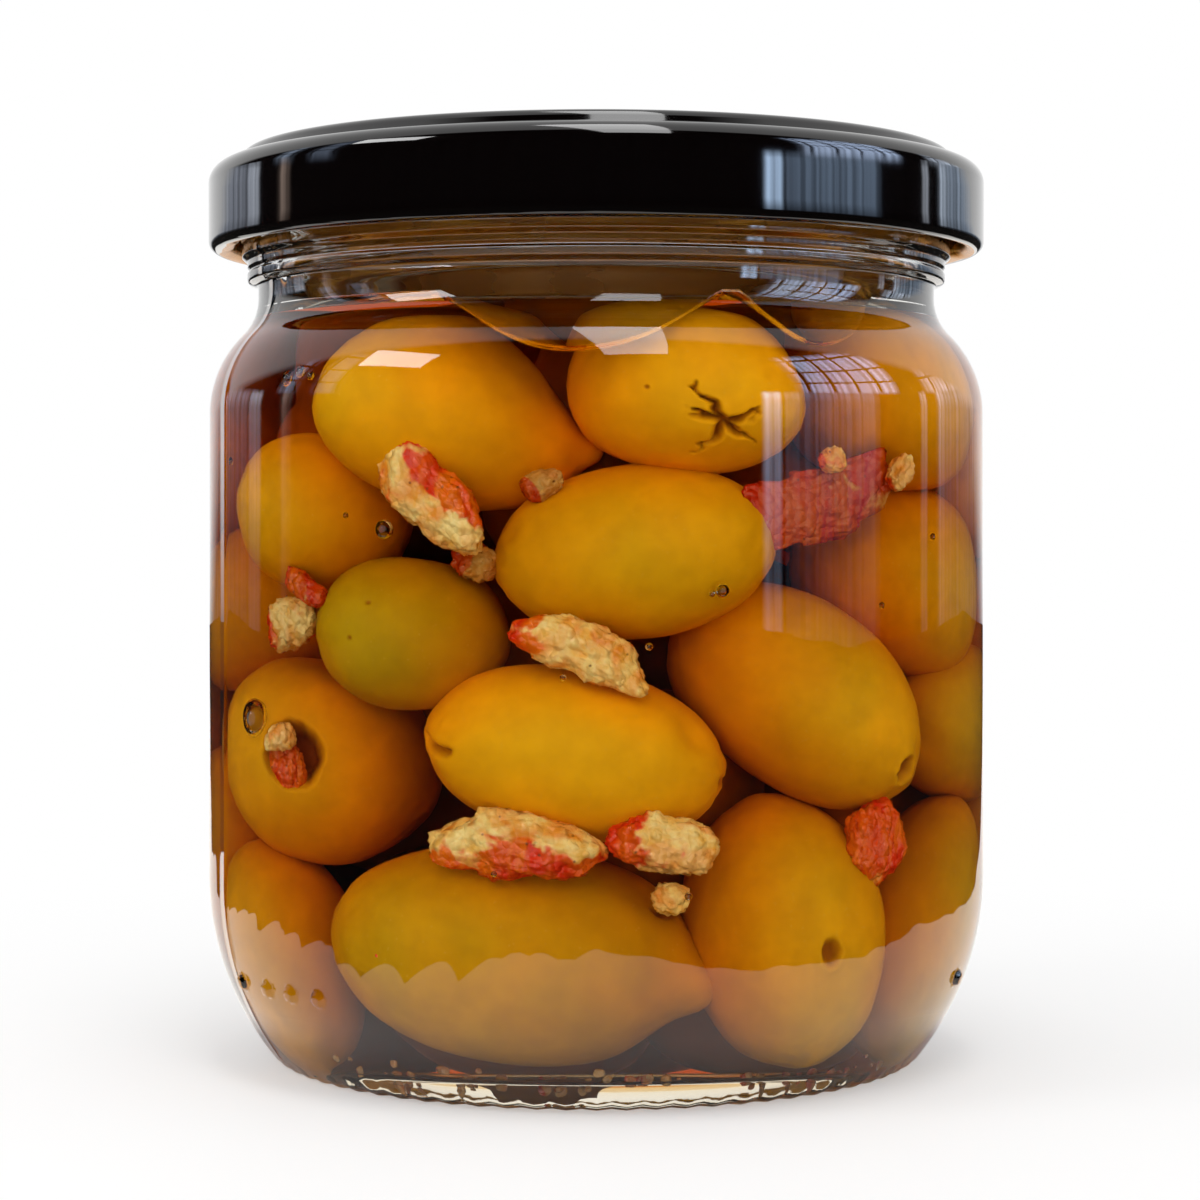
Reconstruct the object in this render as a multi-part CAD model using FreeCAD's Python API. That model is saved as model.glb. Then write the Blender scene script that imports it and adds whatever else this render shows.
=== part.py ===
import FreeCAD, Part
import math
import os

# A glass twist-off jar of olives in oil, shut with a black metal lug lid.
# Millimetres. +Z is the jar's axis, pointing up. The origin is the centre of
# the ring that the jar stands on.

# ---- jar body, outside ----
BODY_R = 43.2             # body at its widest, at the top of the heel
BODY_TAPER = 0.2          # the wall is this much nearer the axis at the shoulder
HEEL_H = 20.5             # the wall starts to curve in below this height
HEEL_ROUND = 2.5          # small round where the heel meets the bearing ring
BEARING_INSET = 8.8       # from the body to the ring that the jar stands on
BEARING_W = 2.0           # width of that flat ring
BASE_STEP = 0.9           # height of the step inside the bearing ring
BASE_STEP_IN = 1.1        # how far that step leans inwards
PUSH_UP = 2.4             # height of the underside at the axis
WALL_H = 51.0             # straight wall, from the heel to the shoulder
SHOULDER_R = 12.0         # radius of the shoulder

# ---- neck and finish, outside ----
NECK_INSET = 5.6          # from the body to the waist, the narrowest part
WAIST_HOLLOW_R = 6.0      # hollow curve between shoulder and waist
WAIST_H = 1.35            # upright length of the waist
BEAD_PROUD = 1.2          # transfer bead, out from the waist
BEAD_H = 2.55
BEAD_GROOVE_AT = 1.55     # fine groove in the bead, above its underside
BEAD_GROOVE = 0.35        # depth of that groove
FINISH_PROUD = 1.8        # wall that carries the threads, out from the waist
FINISH_H = 10.75          # bead to rim
RIM_ROUND = 1.4

# ---- jar, inside ----
WALL_T = 2.6              # glass at the straight wall
NECK_T = 2.0              # glass at the waist
FLOOR_Z = 4.2             # inner floor beside the corner
FLOOR_RISE = 1.3          # the floor is this much higher at the axis
CORNER_R = 12.0           # inner corner between floor and wall
INNER_SHOULDER_RISE = 5.8  # the inner wall turns in this far above the shoulder
INNER_SHOULDER_R = 10.0   # round at that turn
NECK_BLEND_R = 8.0        # round from the slope to the bore
NECK_BLEND_DROP = 0.35    # the slope meets the bore this far under the waist

# ---- threads on the finish and lugs in the lid ----
LUGS = 6
THREAD_PROUD = 1.3        # how far a thread stands out of the finish
THREAD_ROOT = 0.8         # how deep its root is sunk in the finish
THREAD_H = 1.5
THREAD_ARC = 44.0         # degrees
THREAD_LEAN = 2.5         # degrees, its rise
THREAD_GAP = 0.25         # thread to rolled edge
LUG_ARC = 12.0            # degrees
LUG_REACH = 0.85          # how far a lug reaches in from the rolled edge
LUG_RAISE = 0.3           # lug above the foot of the lid
LUG_H = 1.2
LUG_GAP = 0.15            # lug to thread
LUG_TURN = 11.0           # degrees from the middle of a thread to a lug

# ---- lid ----
SHEET = 0.4               # sheet and lacquer
LID_H = 11.0              # foot to the top of the raised ring
CURL = 2.1                # thickness of the rolled edge
RING_OVER = 0.1           # raised ring, out past the finish
RING_UNDER = 1.0          # raised ring, in past the bore
RING_H = 1.4              # ring above the valley beside the shoulder
RING_SLANT_OUT = 0.6      # lean of the ring's outer side
RING_SLANT_IN = 0.9       # lean of its inner side
LID_SHOULDER_R = 2.2
PANEL_DROP = 1.3          # the middle panel lies this far under the ring
BUTTON_R = 17.0           # flat button in the middle of the panel
BUTTON_H = 0.45
BUTTON_SLANT = 1.2
FOLD_R = 0.7              # inside radius of the sheet's folds
SEAL_T = 1.0              # sealing compound between rim and ring
SEAL_GAP = 0.6            # compound to the foot of the ring's side walls

# ---- what the jar holds ----
HEADSPACE = 17.4          # rim to the level of the oil
# Air pockets in the edge of the oil, where two olives keep it off the glass:
# direction about the axis from -Y, in degrees, half width and depth.
AIR_POCKETS = [(-4.0, 13.0, 5.5), (34.0, 7.5, 5.0)]
POCKET_OUT = 3.0          # a pocket is deepest this far outside the bore's radius

# ---- sizes that follow from these ----
WAIST_R = BODY_R - NECK_INSET
BORE_R = WAIST_R - NECK_T
BEAD_R = WAIST_R + BEAD_PROUD
FINISH_R = WAIST_R + FINISH_PROUD
SHOULDER_Z = HEEL_H + WALL_H
SHOULDER_CENTRE_R = BODY_R - BODY_TAPER - SHOULDER_R
HOLLOW_CENTRE_R = WAIST_R + WAIST_HOLLOW_R
WAIST_Z = SHOULDER_Z + math.sqrt((SHOULDER_R + WAIST_HOLLOW_R) ** 2
                                 - (HOLLOW_CENTRE_R - SHOULDER_CENTRE_R) ** 2)
BEAD_Z = WAIST_Z + WAIST_H
RIM_Z = BEAD_Z + BEAD_H + FINISH_H
OIL_Z = RIM_Z - HEADSPACE
LID_R = FINISH_R + THREAD_PROUD + THREAD_GAP + CURL
LID_TOP_Z = RIM_Z + SEAL_T + SHEET
LID_FOOT_Z = LID_TOP_Z - LID_H
RING_OUT_R = FINISH_R + RING_OVER
RING_IN_R = BORE_R - RING_UNDER
THREAD_Z = LID_FOOT_Z + LUG_RAISE + LUG_H + LUG_GAP + THREAD_H / 2


def rounded_path(corners):
    """Edges through the corners (r, z, round), each corner rounded off."""
    pts = [FreeCAD.Vector(r, 0, z) for r, z, _ in corners]
    edges = []
    start = pts[0]
    for i in range(1, len(pts) - 1):
        a = (pts[i - 1] - pts[i]).normalize()
        b = (pts[i + 1] - pts[i]).normalize()
        radius = corners[i][2]
        if radius > 0:
            half = a.getAngle(b) / 2
            reach = radius / math.tan(half)
            first = pts[i] + a * reach
            last = pts[i] + b * reach
            middle_dir = (a + b).normalize()
            centre = pts[i] + middle_dir * (radius / math.sin(half))
            mid = centre - middle_dir * radius
            if (first - start).Length > 1e-6:
                edges.append(Part.LineSegment(start, first).toShape())
            edges.append(Part.Arc(first, mid, last).toShape())
            start = last
        else:
            edges.append(Part.LineSegment(start, pts[i]).toShape())
            start = pts[i]
    edges.append(Part.LineSegment(start, pts[-1]).toShape())
    return edges


def parallel(corners, gap):
    """The same corners moved to the right of the path by gap."""
    shifted = []
    for i, (r, z, radius) in enumerate(corners):
        normals = []
        for j in (i - 1, i):
            if 0 <= j < len(corners) - 1:
                dr = corners[j + 1][0] - corners[j][0]
                dz = corners[j + 1][1] - corners[j][1]
                length = math.hypot(dr, dz)
                normals.append((dz / length, -dr / length))
        if len(normals) == 1:
            nr, nz = normals[0]
            shifted.append((r + nr * gap, z + nz * gap, 0))
            continue
        (ar, az), (br, bz) = normals
        scale = gap / (1 + ar * br + az * bz)
        turn = ar * bz - az * br
        new_radius = radius + gap if turn > 0 else radius - gap
        shifted.append((r + (ar + br) * scale, z + (az + bz) * scale, max(new_radius, 0)))
    return shifted


def turned(edges, degrees=360.0):
    """Solid swept round the jar's axis by the closed loop of edges."""
    wire = Part.Wire(Part.__sortEdges__(edges))
    face = Part.Face(wire)
    solid = face.revolve(FreeCAD.Vector(0, 0, 0), FreeCAD.Vector(0, 0, 1), degrees)
    if solid.Volume < 0:
        solid.reverse()
    return solid


def line(r0, z0, r1, z1):
    return Part.LineSegment(FreeCAD.Vector(r0, 0, z0), FreeCAD.Vector(r1, 0, z1)).toShape()


def arc(start, mid, end):
    return Part.Arc(*[FreeCAD.Vector(r, 0, z) for r, z in (start, mid, end)]).toShape()


def arc_about(centre, radius, start_deg, end_deg):
    """Arc of a circle in the (r, z) plane between two angles."""
    pts = []
    for deg in (start_deg, (start_deg + end_deg) / 2, end_deg):
        t = math.radians(deg)
        pts.append((centre[0] + radius * math.cos(t), centre[1] + radius * math.sin(t)))
    return arc(*pts)


def jar_outside():
    """Edges of the outside, from the axis under the base up to the rim."""
    # The heel: a wide arc that leaves the wall upright and rolls into the
    # small round beside the bearing ring.
    rise = HEEL_H - HEEL_ROUND
    heel_r = ((BEARING_INSET ** 2 + rise ** 2 - HEEL_ROUND ** 2)
              / (2 * (BEARING_INSET - HEEL_ROUND)))
    heel_c = (BODY_R - heel_r, HEEL_H)
    bearing_out_r = BODY_R - BEARING_INSET
    bearing_in_r = bearing_out_r - BEARING_W
    round_c = (bearing_out_r, HEEL_ROUND)
    meet = math.degrees(math.atan2(round_c[1] - heel_c[1], round_c[0] - heel_c[0]))
    step_r = bearing_in_r - BASE_STEP_IN
    dome_mid = (step_r * 0.55, BASE_STEP + (PUSH_UP - BASE_STEP) * 0.7)
    base = [
        arc((0, PUSH_UP), dome_mid, (step_r, BASE_STEP)),
        line(step_r, BASE_STEP, bearing_in_r, 0),
        line(bearing_in_r, 0, bearing_out_r, 0),
        arc_about(round_c, HEEL_ROUND, -90, meet),
        arc_about(heel_c, heel_r, meet, 0),
    ]
    # The shoulder's arc rolls into the hollow curve above it, which ends
    # upright at the waist.
    shoulder_c = (SHOULDER_CENTRE_R, SHOULDER_Z)
    hollow_c = (HOLLOW_CENTRE_R, WAIST_Z)
    lean = math.degrees(math.atan2(hollow_c[1] - shoulder_c[1], hollow_c[0] - shoulder_c[0]))
    shoulder = [
        line(BODY_R, HEEL_H, BODY_R - BODY_TAPER, SHOULDER_Z),
        arc_about(shoulder_c, SHOULDER_R, 0, lean),
        arc_about(hollow_c, WAIST_HOLLOW_R, 180 + lean, 180),
    ]
    groove_z = BEAD_Z + BEAD_GROOVE_AT
    bead_top = BEAD_Z + BEAD_H
    finish = rounded_path([
        (WAIST_R, WAIST_Z, 0),
        (WAIST_R, BEAD_Z, 0.35),
        (BEAD_R, BEAD_Z + 0.35, 0.3),
        (BEAD_R, groove_z - BEAD_GROOVE, 0.1),
        (BEAD_R - BEAD_GROOVE, groove_z, 0.15),
        (BEAD_R, groove_z + BEAD_GROOVE, 0.1),
        (BEAD_R, bead_top, 0.2),
        (FINISH_R, bead_top + 0.5, 0.2),
        (FINISH_R, RIM_Z, RIM_ROUND),
        ((FINISH_R + BORE_R) / 2, RIM_Z, 0),
    ])
    return base + shoulder + finish


def cavity_edges(top_z):
    """Edges of the space inside, from the axis at the floor up the bore to top_z."""
    inner_r = BODY_R - BODY_TAPER / 2 - WALL_T
    floor_r = inner_r - CORNER_R
    edges = [
        arc((0, FLOOR_Z + FLOOR_RISE), (floor_r * 0.55, FLOOR_Z + FLOOR_RISE * 0.7),
            (floor_r, FLOOR_Z)),
        arc_about((floor_r, FLOOR_Z + CORNER_R), CORNER_R, -90, 0),
    ]
    edges += rounded_path([
        (inner_r, FLOOR_Z + CORNER_R, 0),
        (inner_r, SHOULDER_Z + INNER_SHOULDER_RISE, INNER_SHOULDER_R),
        (BORE_R, WAIST_Z - NECK_BLEND_DROP, NECK_BLEND_R),
        (BORE_R, top_z, 0),
    ])
    return edges


def cavity(top_z):
    """The space inside the jar as a solid, closed flat at top_z."""
    edges = cavity_edges(top_z)
    edges.append(line(BORE_R, top_z, 0, top_z))
    edges.append(line(0, top_z, 0, FLOOR_Z + FLOOR_RISE))
    return turned(edges)


def around(solid, count, first):
    """Copies of the solid, evenly round the axis, the first one at an angle."""
    copies = []
    for i in range(count):
        copy = solid.copy()
        copy.rotate(FreeCAD.Vector(0, 0, 0), FreeCAD.Vector(0, 0, 1), first + i * 360 / count)
        copies.append(copy)
    return copies


def make_jar():
    rim_in = [
        line((FINISH_R + BORE_R) / 2, RIM_Z, BORE_R + RIM_ROUND, RIM_Z),
        arc_about((BORE_R + RIM_ROUND, RIM_Z - RIM_ROUND), RIM_ROUND, 90, 180),
    ]
    axis = [line(0, PUSH_UP, 0, FLOOR_Z + FLOOR_RISE)]
    jar = turned(jar_outside() + rim_in + cavity_edges(RIM_Z - RIM_ROUND) + axis)
    root = FINISH_R - THREAD_ROOT
    tip = FINISH_R + THREAD_PROUD
    thread = turned(rounded_path([
        (root, -THREAD_H / 2, 0),
        (tip, -THREAD_H / 2, THREAD_H * 0.23),
        (tip, THREAD_H / 2, THREAD_H * 0.37),
        (root, THREAD_H / 2 + 0.25, 0),
        (root, -THREAD_H / 2, 0),
    ]), THREAD_ARC)
    thread.rotate(FreeCAD.Vector(0, 0, 0), FreeCAD.Vector(0, 0, 1), -THREAD_ARC / 2)
    thread.rotate(FreeCAD.Vector(0, 0, 0), FreeCAD.Vector(1, 0, 0), THREAD_LEAN)
    thread.translate(FreeCAD.Vector(0, 0, THREAD_Z))
    return jar.fuse(around(thread, LUGS, 0)).removeSplitter()


def make_lid():
    valley = LID_TOP_Z - RING_H
    panel = LID_TOP_Z - PANEL_DROP
    upper = [
        (0, panel + BUTTON_H, 0),
        (BUTTON_R, panel + BUTTON_H, FOLD_R),
        (BUTTON_R + BUTTON_SLANT, panel, FOLD_R),
        (RING_IN_R - RING_SLANT_IN, panel, FOLD_R),
        (RING_IN_R, LID_TOP_Z, FOLD_R + SHEET),
        (RING_OUT_R - RING_SLANT_OUT / 2, LID_TOP_Z, FOLD_R + SHEET),
        (RING_OUT_R + RING_SLANT_OUT / 2, valley, FOLD_R / 2),
        (LID_R, valley, LID_SHOULDER_R),
        (LID_R, LID_FOOT_Z + CURL, 0),
    ]
    lower = parallel(upper, SHEET)
    lower[0] = (0, lower[0][1], 0)
    roll = CURL * 0.49
    curl = rounded_path([
        (LID_R, LID_FOOT_Z + CURL, 0),
        (LID_R, LID_FOOT_Z, roll),
        (LID_R - CURL, LID_FOOT_Z, roll),
        (LID_R - CURL, LID_FOOT_Z + CURL, roll),
        (LID_R - SHEET, LID_FOOT_Z + CURL, 0),
    ])
    axis = [line(0, upper[0][1], 0, lower[0][1])]
    lid = turned(rounded_path(upper) + curl + rounded_path(lower) + axis)
    # Lugs: short lengths of the rolled edge pressed inwards under the threads.
    lug_tip = LID_R - CURL - LUG_REACH
    lug_root = LID_R - CURL / 2
    lug_foot = LID_FOOT_Z + LUG_RAISE
    lug = turned(rounded_path([
        (lug_root, lug_foot, 0),
        (lug_tip, lug_foot, 0.3),
        (lug_tip, lug_foot + LUG_H, 0.3),
        (lug_root, lug_foot + LUG_H, 0),
        (lug_root, lug_foot, 0),
    ]), LUG_ARC)
    return lid.fuse(around(lug, LUGS, LUG_TURN - LUG_ARC / 2)).removeSplitter()


def make_seal():
    """Sealing compound: a flat ring between the jar's rim and the lid's raised ring."""
    inner = RING_IN_R + SHEET + SEAL_GAP
    outer = RING_OUT_R - RING_SLANT_OUT / 2 - SHEET - SEAL_GAP
    top = RIM_Z + SEAL_T
    edge = SEAL_T * 0.3
    return turned(rounded_path([
        (inner, RIM_Z + SEAL_T / 2, 0),
        (inner, RIM_Z, edge),
        (outer, RIM_Z, edge),
        (outer, top, edge),
        (inner, top, edge),
        (inner, RIM_Z + SEAL_T / 2, 0),
    ]))


def make_oil():
    """The oil up to its level, without the air pockets at its edge."""
    oil = cavity(RIM_Z - RIM_ROUND).common(Part.makeCylinder(BODY_R, OIL_Z))
    for turn, half_width, depth in AIR_POCKETS:
        radius = (half_width ** 2 + depth ** 2) / (2 * depth)
        pocket = Part.makeSphere(radius)
        pocket.translate(FreeCAD.Vector(0, -(BORE_R + POCKET_OUT), OIL_Z - depth + radius))
        pocket.rotate(FreeCAD.Vector(0, 0, 0), FreeCAD.Vector(0, 0, 1), turn)
        oil = oil.cut(pocket)
    return oil


def main():
    os.makedirs("parts", exist_ok=True)
    nodes = {
        "jar": make_jar(),
        "lid": make_lid(),
        "lid_seal": make_seal(),
        "olives_in_oil": make_oil(),
    }
    for name, shape in nodes.items():
        solid = shape.Solids[0]
        print(name, "valid" if solid.isValid() else "NOT VALID", len(shape.Solids), "solid",
              round(solid.Volume, 1), "mm3")
        solid.exportStep(os.path.join("parts", name + ".step"))


main()
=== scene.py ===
import math
import random

import bmesh
import bpy
from bpy.props import FloatProperty, FloatVectorProperty, IntProperty, PointerProperty
from mathutils import Matrix, Vector, noise


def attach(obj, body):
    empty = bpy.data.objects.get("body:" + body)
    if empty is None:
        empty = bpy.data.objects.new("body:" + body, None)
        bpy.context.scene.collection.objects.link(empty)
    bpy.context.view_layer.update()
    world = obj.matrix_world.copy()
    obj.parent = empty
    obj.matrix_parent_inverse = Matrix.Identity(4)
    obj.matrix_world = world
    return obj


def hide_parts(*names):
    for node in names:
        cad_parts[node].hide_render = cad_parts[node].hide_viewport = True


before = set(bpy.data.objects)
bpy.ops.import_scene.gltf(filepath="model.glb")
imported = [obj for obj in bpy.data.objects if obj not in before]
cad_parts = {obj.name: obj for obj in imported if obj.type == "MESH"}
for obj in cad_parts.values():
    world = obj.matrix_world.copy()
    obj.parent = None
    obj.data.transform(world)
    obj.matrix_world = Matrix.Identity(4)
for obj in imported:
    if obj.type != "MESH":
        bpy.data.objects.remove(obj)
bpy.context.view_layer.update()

bl_info = {
    "name": "Jar of stuffed olives",
    "version": (1, 0, 0),
    "blender": (4, 5, 0),
    "location": "3D View > Sidebar > Olive Jar",
    "description": "Builds a twist-off glass jar of stuffed olives in oil, piece by piece",
    "category": "Add Mesh",
}

MM = 0.001
BODY = "root"

# ---- the jar's own sizes, in millimetres; they match the solids ----
BODY_R = 43.2
BODY_TAPER = 0.2
HEEL_H = 20.5
HEEL_ROUND = 2.5
BEARING_INSET = 8.8
BEARING_W = 2.0
BASE_STEP = 0.9
BASE_STEP_IN = 1.1
PUSH_UP = 2.4
WALL_H = 51.0
SHOULDER_R = 12.0
NECK_INSET = 5.6
WAIST_HOLLOW_R = 6.0
WAIST_H = 1.35
BEAD_PROUD = 1.2
BEAD_H = 2.55
BEAD_GROOVE_AT = 1.55
BEAD_GROOVE = 0.35
FINISH_PROUD = 1.8
FINISH_H = 10.75
RIM_ROUND = 1.4
WALL_T = 2.6
NECK_T = 2.0
FLOOR_Z = 4.2
FLOOR_RISE = 1.3
CORNER_R = 12.0
INNER_SHOULDER_RISE = 5.8
INNER_SHOULDER_R = 10.0
NECK_BLEND_R = 8.0
NECK_BLEND_DROP = 0.35
LUGS = 6
THREAD_PROUD = 1.3
THREAD_H = 1.5
THREAD_ARC = 44.0
THREAD_LEAN = 2.5
LUG_ARC = 12.0
LUG_REACH = 0.85
LUG_RAISE = 0.3
LUG_H = 1.2
LUG_GAP = 0.15
LUG_TURN = 11.0
SHEET = 0.4
LID_H = 11.0
CURL = 2.1
THREAD_GAP = 0.25
RING_OVER = 0.1
RING_UNDER = 1.0
RING_H = 1.4
RING_SLANT_OUT = 0.6
RING_SLANT_IN = 0.9
LID_SHOULDER_R = 2.2
PANEL_DROP = 1.3
BUTTON_R = 17.0
BUTTON_H = 0.45
BUTTON_SLANT = 1.2
FOLD_R = 0.7
SEAL_T = 1.0
HEADSPACE = 17.4

WAIST_R = BODY_R - NECK_INSET
BORE_R = WAIST_R - NECK_T
BEAD_R = WAIST_R + BEAD_PROUD
FINISH_R = WAIST_R + FINISH_PROUD
SHOULDER_Z = HEEL_H + WALL_H
SHOULDER_CENTRE_R = BODY_R - BODY_TAPER - SHOULDER_R
HOLLOW_CENTRE_R = WAIST_R + WAIST_HOLLOW_R
WAIST_Z = SHOULDER_Z + math.sqrt((SHOULDER_R + WAIST_HOLLOW_R) ** 2
                                 - (HOLLOW_CENTRE_R - SHOULDER_CENTRE_R) ** 2)
BEAD_Z = WAIST_Z + WAIST_H
RIM_Z = BEAD_Z + BEAD_H + FINISH_H
OIL_Z = RIM_Z - HEADSPACE
LID_R = FINISH_R + THREAD_PROUD + THREAD_GAP + CURL
LID_TOP_Z = RIM_Z + SEAL_T + SHEET
LID_FOOT_Z = LID_TOP_Z - LID_H
RING_OUT_R = FINISH_R + RING_OVER
RING_IN_R = BORE_R - RING_UNDER
THREAD_Z = LID_FOOT_Z + LUG_RAISE + LUG_H + LUG_GAP + THREAD_H / 2

# Mould marks on the glass: directions about the axis in degrees, from the
# front (-Y) towards +X.
SEAMS = (-67.0, 113.0)
MOULD_DOTS = (-43.0, -49.5, -56.0, -64.0, -69.5, 68.0, 137.0, 111.0, 124.0, -112.0)
MOULD_DOT_Z = 10.7

# Air pockets that press the oil's edge down the glass: direction of the
# lowest point, reach to the left and right in degrees, depth, and how full
# the curve is to each side.
AIR_POCKETS = (
    (-4.0, 22.5, 24.0, 6.2, (2.0, 1.6), (2.2, 1.3)),
    (34.0, 11.0, 16.0, 5.4, (2.4, 1.4), (2.0, 1.2)),
)

# Olives against the front of the glass: centre, half length, half width,
# heading about Z and rise above level of the long axis.
FRONT_OLIVES = {
    "A": (-14.4, -27.2, 69.3, 13.3, 8.1, 0, -17.2),
    "B": (8.8, -31.0, 72.0, 11.2, 7.7, 0, -4.3),
    "C": (-25.8, -17.9, 60.5, 10.0, 8.2, -20, -10.6),
    "D": (3.6, -31.3, 56.4, 13.2, 8.8, 0, 6.0),
    "F": (-17.4, -26.5, 48.1, 9.7, 7.8, 0, -5.5),
    "J": (-2.1, -31.6, 36.2, 14.1, 8.8, 0, -10.3),
    "K": (19.0, -23.2, 41.4, 14.3, 9.4, 10, -38.7),
    "I": (-24.9, -15.0, 34.6, 12.0, 10.7, -25, -18.7),
    "M": (-8.3, -27.5, 16.5, 16.9, 10.5, 0, -4.9),
    "N": (17.6, -24.7, 18.0, 13.0, 9.9, 0, -75.9),
    "H": (27.2, -11.4, 53.3, 11.6, 9.7, 30, -26.5),
    "L": (-28.6, -12.9, 14.6, 11.0, 8.8, -42, -74.0),
    "O": (29.5, -9.3, 17.1, 13.0, 9.0, 60, 70.0),
    "G": (27.1, -14.4, 71.5, 11.5, 8.8, 35, -5.0),
}

# How green each front olive is, 0 gold to 1 green, and how light.
OLIVE_TONES = {
    "A": (0.16, 0.60), "B": (0.12, 0.62), "C": (0.10, 0.50), "D": (0.30, 0.60), "F": (0.75, 0.42),
    "J": (0.14, 0.80), "K": (0.22, 0.55), "I": (0.10, 0.52), "M": (0.45, 0.42), "N": (0.18, 0.50),
    "H": (0.14, 0.48), "L": (0.15, 0.40), "O": (0.35, 0.45), "G": (0.10, 0.45),
}

# Marks on the front olives: kind, offset to the right and up as a share of
# the olive's size as the viewer sees it, reach in radians, depth in mm.
OLIVE_MARKS = {
    "A": (("nub", 0.98, -0.16, 0.30, 1.8), ("dent", 0.72, 0.10, 0.30, 0.35)),
    "B": (("star", 0.32, -0.32, 0.66, 1.7), ("dent", 0.74, 0.28, 0.20, 0.30),
          ("speck", -0.36, 0.08, 0.035, 0.15)),
    "C": (("dent", -0.60, 0.25, 0.25, 0.25),),
    "D": (("dent", 0.90, 0.05, 0.25, 0.5), ("dent", -0.90, 0.25, 0.16, 0.35)),
    "F": (("speck", -0.72, -0.05, 0.04, 0.2), ("speck", -0.5, 0.42, 0.05, 0.15)),
    "J": (("cleft", -0.97, -0.02, 0.30, 1.3), ("dent", 0.86, 0.28, 0.30, 0.8),
          ("cleft", 0.98, -0.2, 0.22, 0.5)),
    "K": (("pit", 0.84, -0.52, 0.17, 1.0), ("dent", -0.2, -0.5, 0.25, 0.3)),
    "I": (("hole", -0.47, 0.08, 0.37, 3.8),),
    "M": (("nub", 0.97, -0.22, 0.42, 2.8), ("cleft", 0.90, 0.38, 0.26, 1.6),
          ("dent", -0.86, -0.05, 0.25, 0.4)),
    "N": (("pit", 0.55, -0.12, 0.13, 1.2), ("dent", 0.6, -0.4, 0.3, 0.4)),
    "H": (("dent", 0.2, 0.6, 0.3, 0.4),),
    "G": (("dent", -0.3, -0.2, 0.3, 0.3),),
}

# Pieces of stuffing: centre, length, width, thickness, lean in the plane of
# the glass, share of red skin, and the side that the skin is on.
STUFFING = (
    ("pepper_in_hole", (-30.2, -21.4, 34.0), 7.4, 6.6, 3.0, -10, 1.0, "all"),
    ("garlic_upper_left", (-15.9, -34.3, 61.9), 14.5, 6.8, 4.6, -42, 0.36, "above"),
    ("garlic_middle", (-1.1, -37.6, 46.3), 13.8, 5.6, 4.4, -27, 0.16, "start"),
    ("garlic_lower_left", (-7.3, -37.0, 27.0), 16.6, 6.6, 4.6, -4, 0.52, "below"),
    ("garlic_lower_right", (6.3, -37.2, 27.5), 10.4, 6.2, 4.6, -14, 0.30, "start"),
    ("pepper_right", (26.6, -25.0, 26.6), 8.6, 7.6, 4.6, -70, 1.0, "all"),
    ("pepper_strip", (21.6, -28.0, 62.0), 19.0, 8.0, 2.4, 17, 0.96, "all"),
    ("garlic_tip_right", (29.6, -24.0, 64.6), 4.6, 3.0, 3.0, 40, 0.08, "start"),
    ("garlic_left", (-29.3, -23.0, 49.1), 7.6, 5.4, 4.6, 14, 0.22, "start"),
    ("pepper_left", (-28.0, -25.2, 52.6), 6.4, 2.8, 2.2, -24, 0.9, "all"),
    ("garlic_nub", (22.5, -29.4, 65.9), 3.2, 2.6, 2.4, 10, 0.05, "start"),
    ("garlic_olive_end", (6.9, -35.6, 21.9), 3.2, 3.6, 3.0, 80, 0.05, "start"),
    ("garlic_in_hole", (-31.3, -23.2, 37.0), 5.0, 3.0, 3.0, 12, 0.05, "start"),
    ("crumb_left", (-20.4, -33.4, 15.9), 3.0, 2.4, 1.6, 60, 0.6, "start"),
    ("crumb_upper", (-4.9, -34.6, 63.2), 4.2, 3.0, 2.6, 30, 0.30, "start"),
    ("crumb_middle", (-11.0, -31.5, 55.7), 5.0, 4.0, 2.6, -20, 0.55, "start"),
    ("crumb_back_left", (-34.0, 21.0, 36.0), 9.0, 5.0, 4.0, 30, 0.4, "above"),
    ("crumb_back_right", (20.0, 34.0, 60.0), 10.0, 5.5, 4.0, -35, 0.35, "below"),
    ("crumb_back", (-2.0, 38.0, 25.0), 11.0, 6.0, 4.2, 12, 0.5, "above"),
)

# Painted shade: how much darker some of the pieces are drawn, for the shade they lie in.
PIECE_PAINTED_SHADE = {"pepper_strip": 0.5, "crumb_upper": 0.6, "crumb_middle": 0.6, "pepper_left": 0.35,
          "garlic_left": 0.25, "pepper_in_hole": 0.15}

# Painted shade on the crumbs, which lie on the jar's floor under the olives.
CRUMB_PAINTED_SHADE = 0.8

# Air bubbles in the oil: centre and radius.
BUBBLES = (
    ((-33.9, -19.6, 38.9), 2.1), ((-20.7, -34.2, 58.8), 1.0), ((12.2, -38.3, 52.7), 0.72),
    ((-30.8, -25.3, 74.0), 0.75), ((-29.4, -26.8, 74.6), 0.6), ((-28.3, -28.1, 74.2), 0.45),
    ((11.2, -38.6, 52.4), 0.34), ((-24.6, -31.6, 60.2), 0.32), ((5.1, -39.7, 47.2), 0.38),
    ((-3.2, -39.6, 44.1), 0.35), ((-36.9, -14.9, 66.0), 0.5), ((33.6, -21.2, 58.0), 0.4),
    ((28.2, -28.2, 51.0), 0.35), ((8.9, -39.0, 22.4), 0.4), ((-9.9, -38.9, 24.6), 0.3),
    ((36.2, 16.6, 58.0), 0.8), ((-20.6, 34.0, 66.4), 1.0), ((5.0, 39.4, 36.0), 0.7),
)


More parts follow.
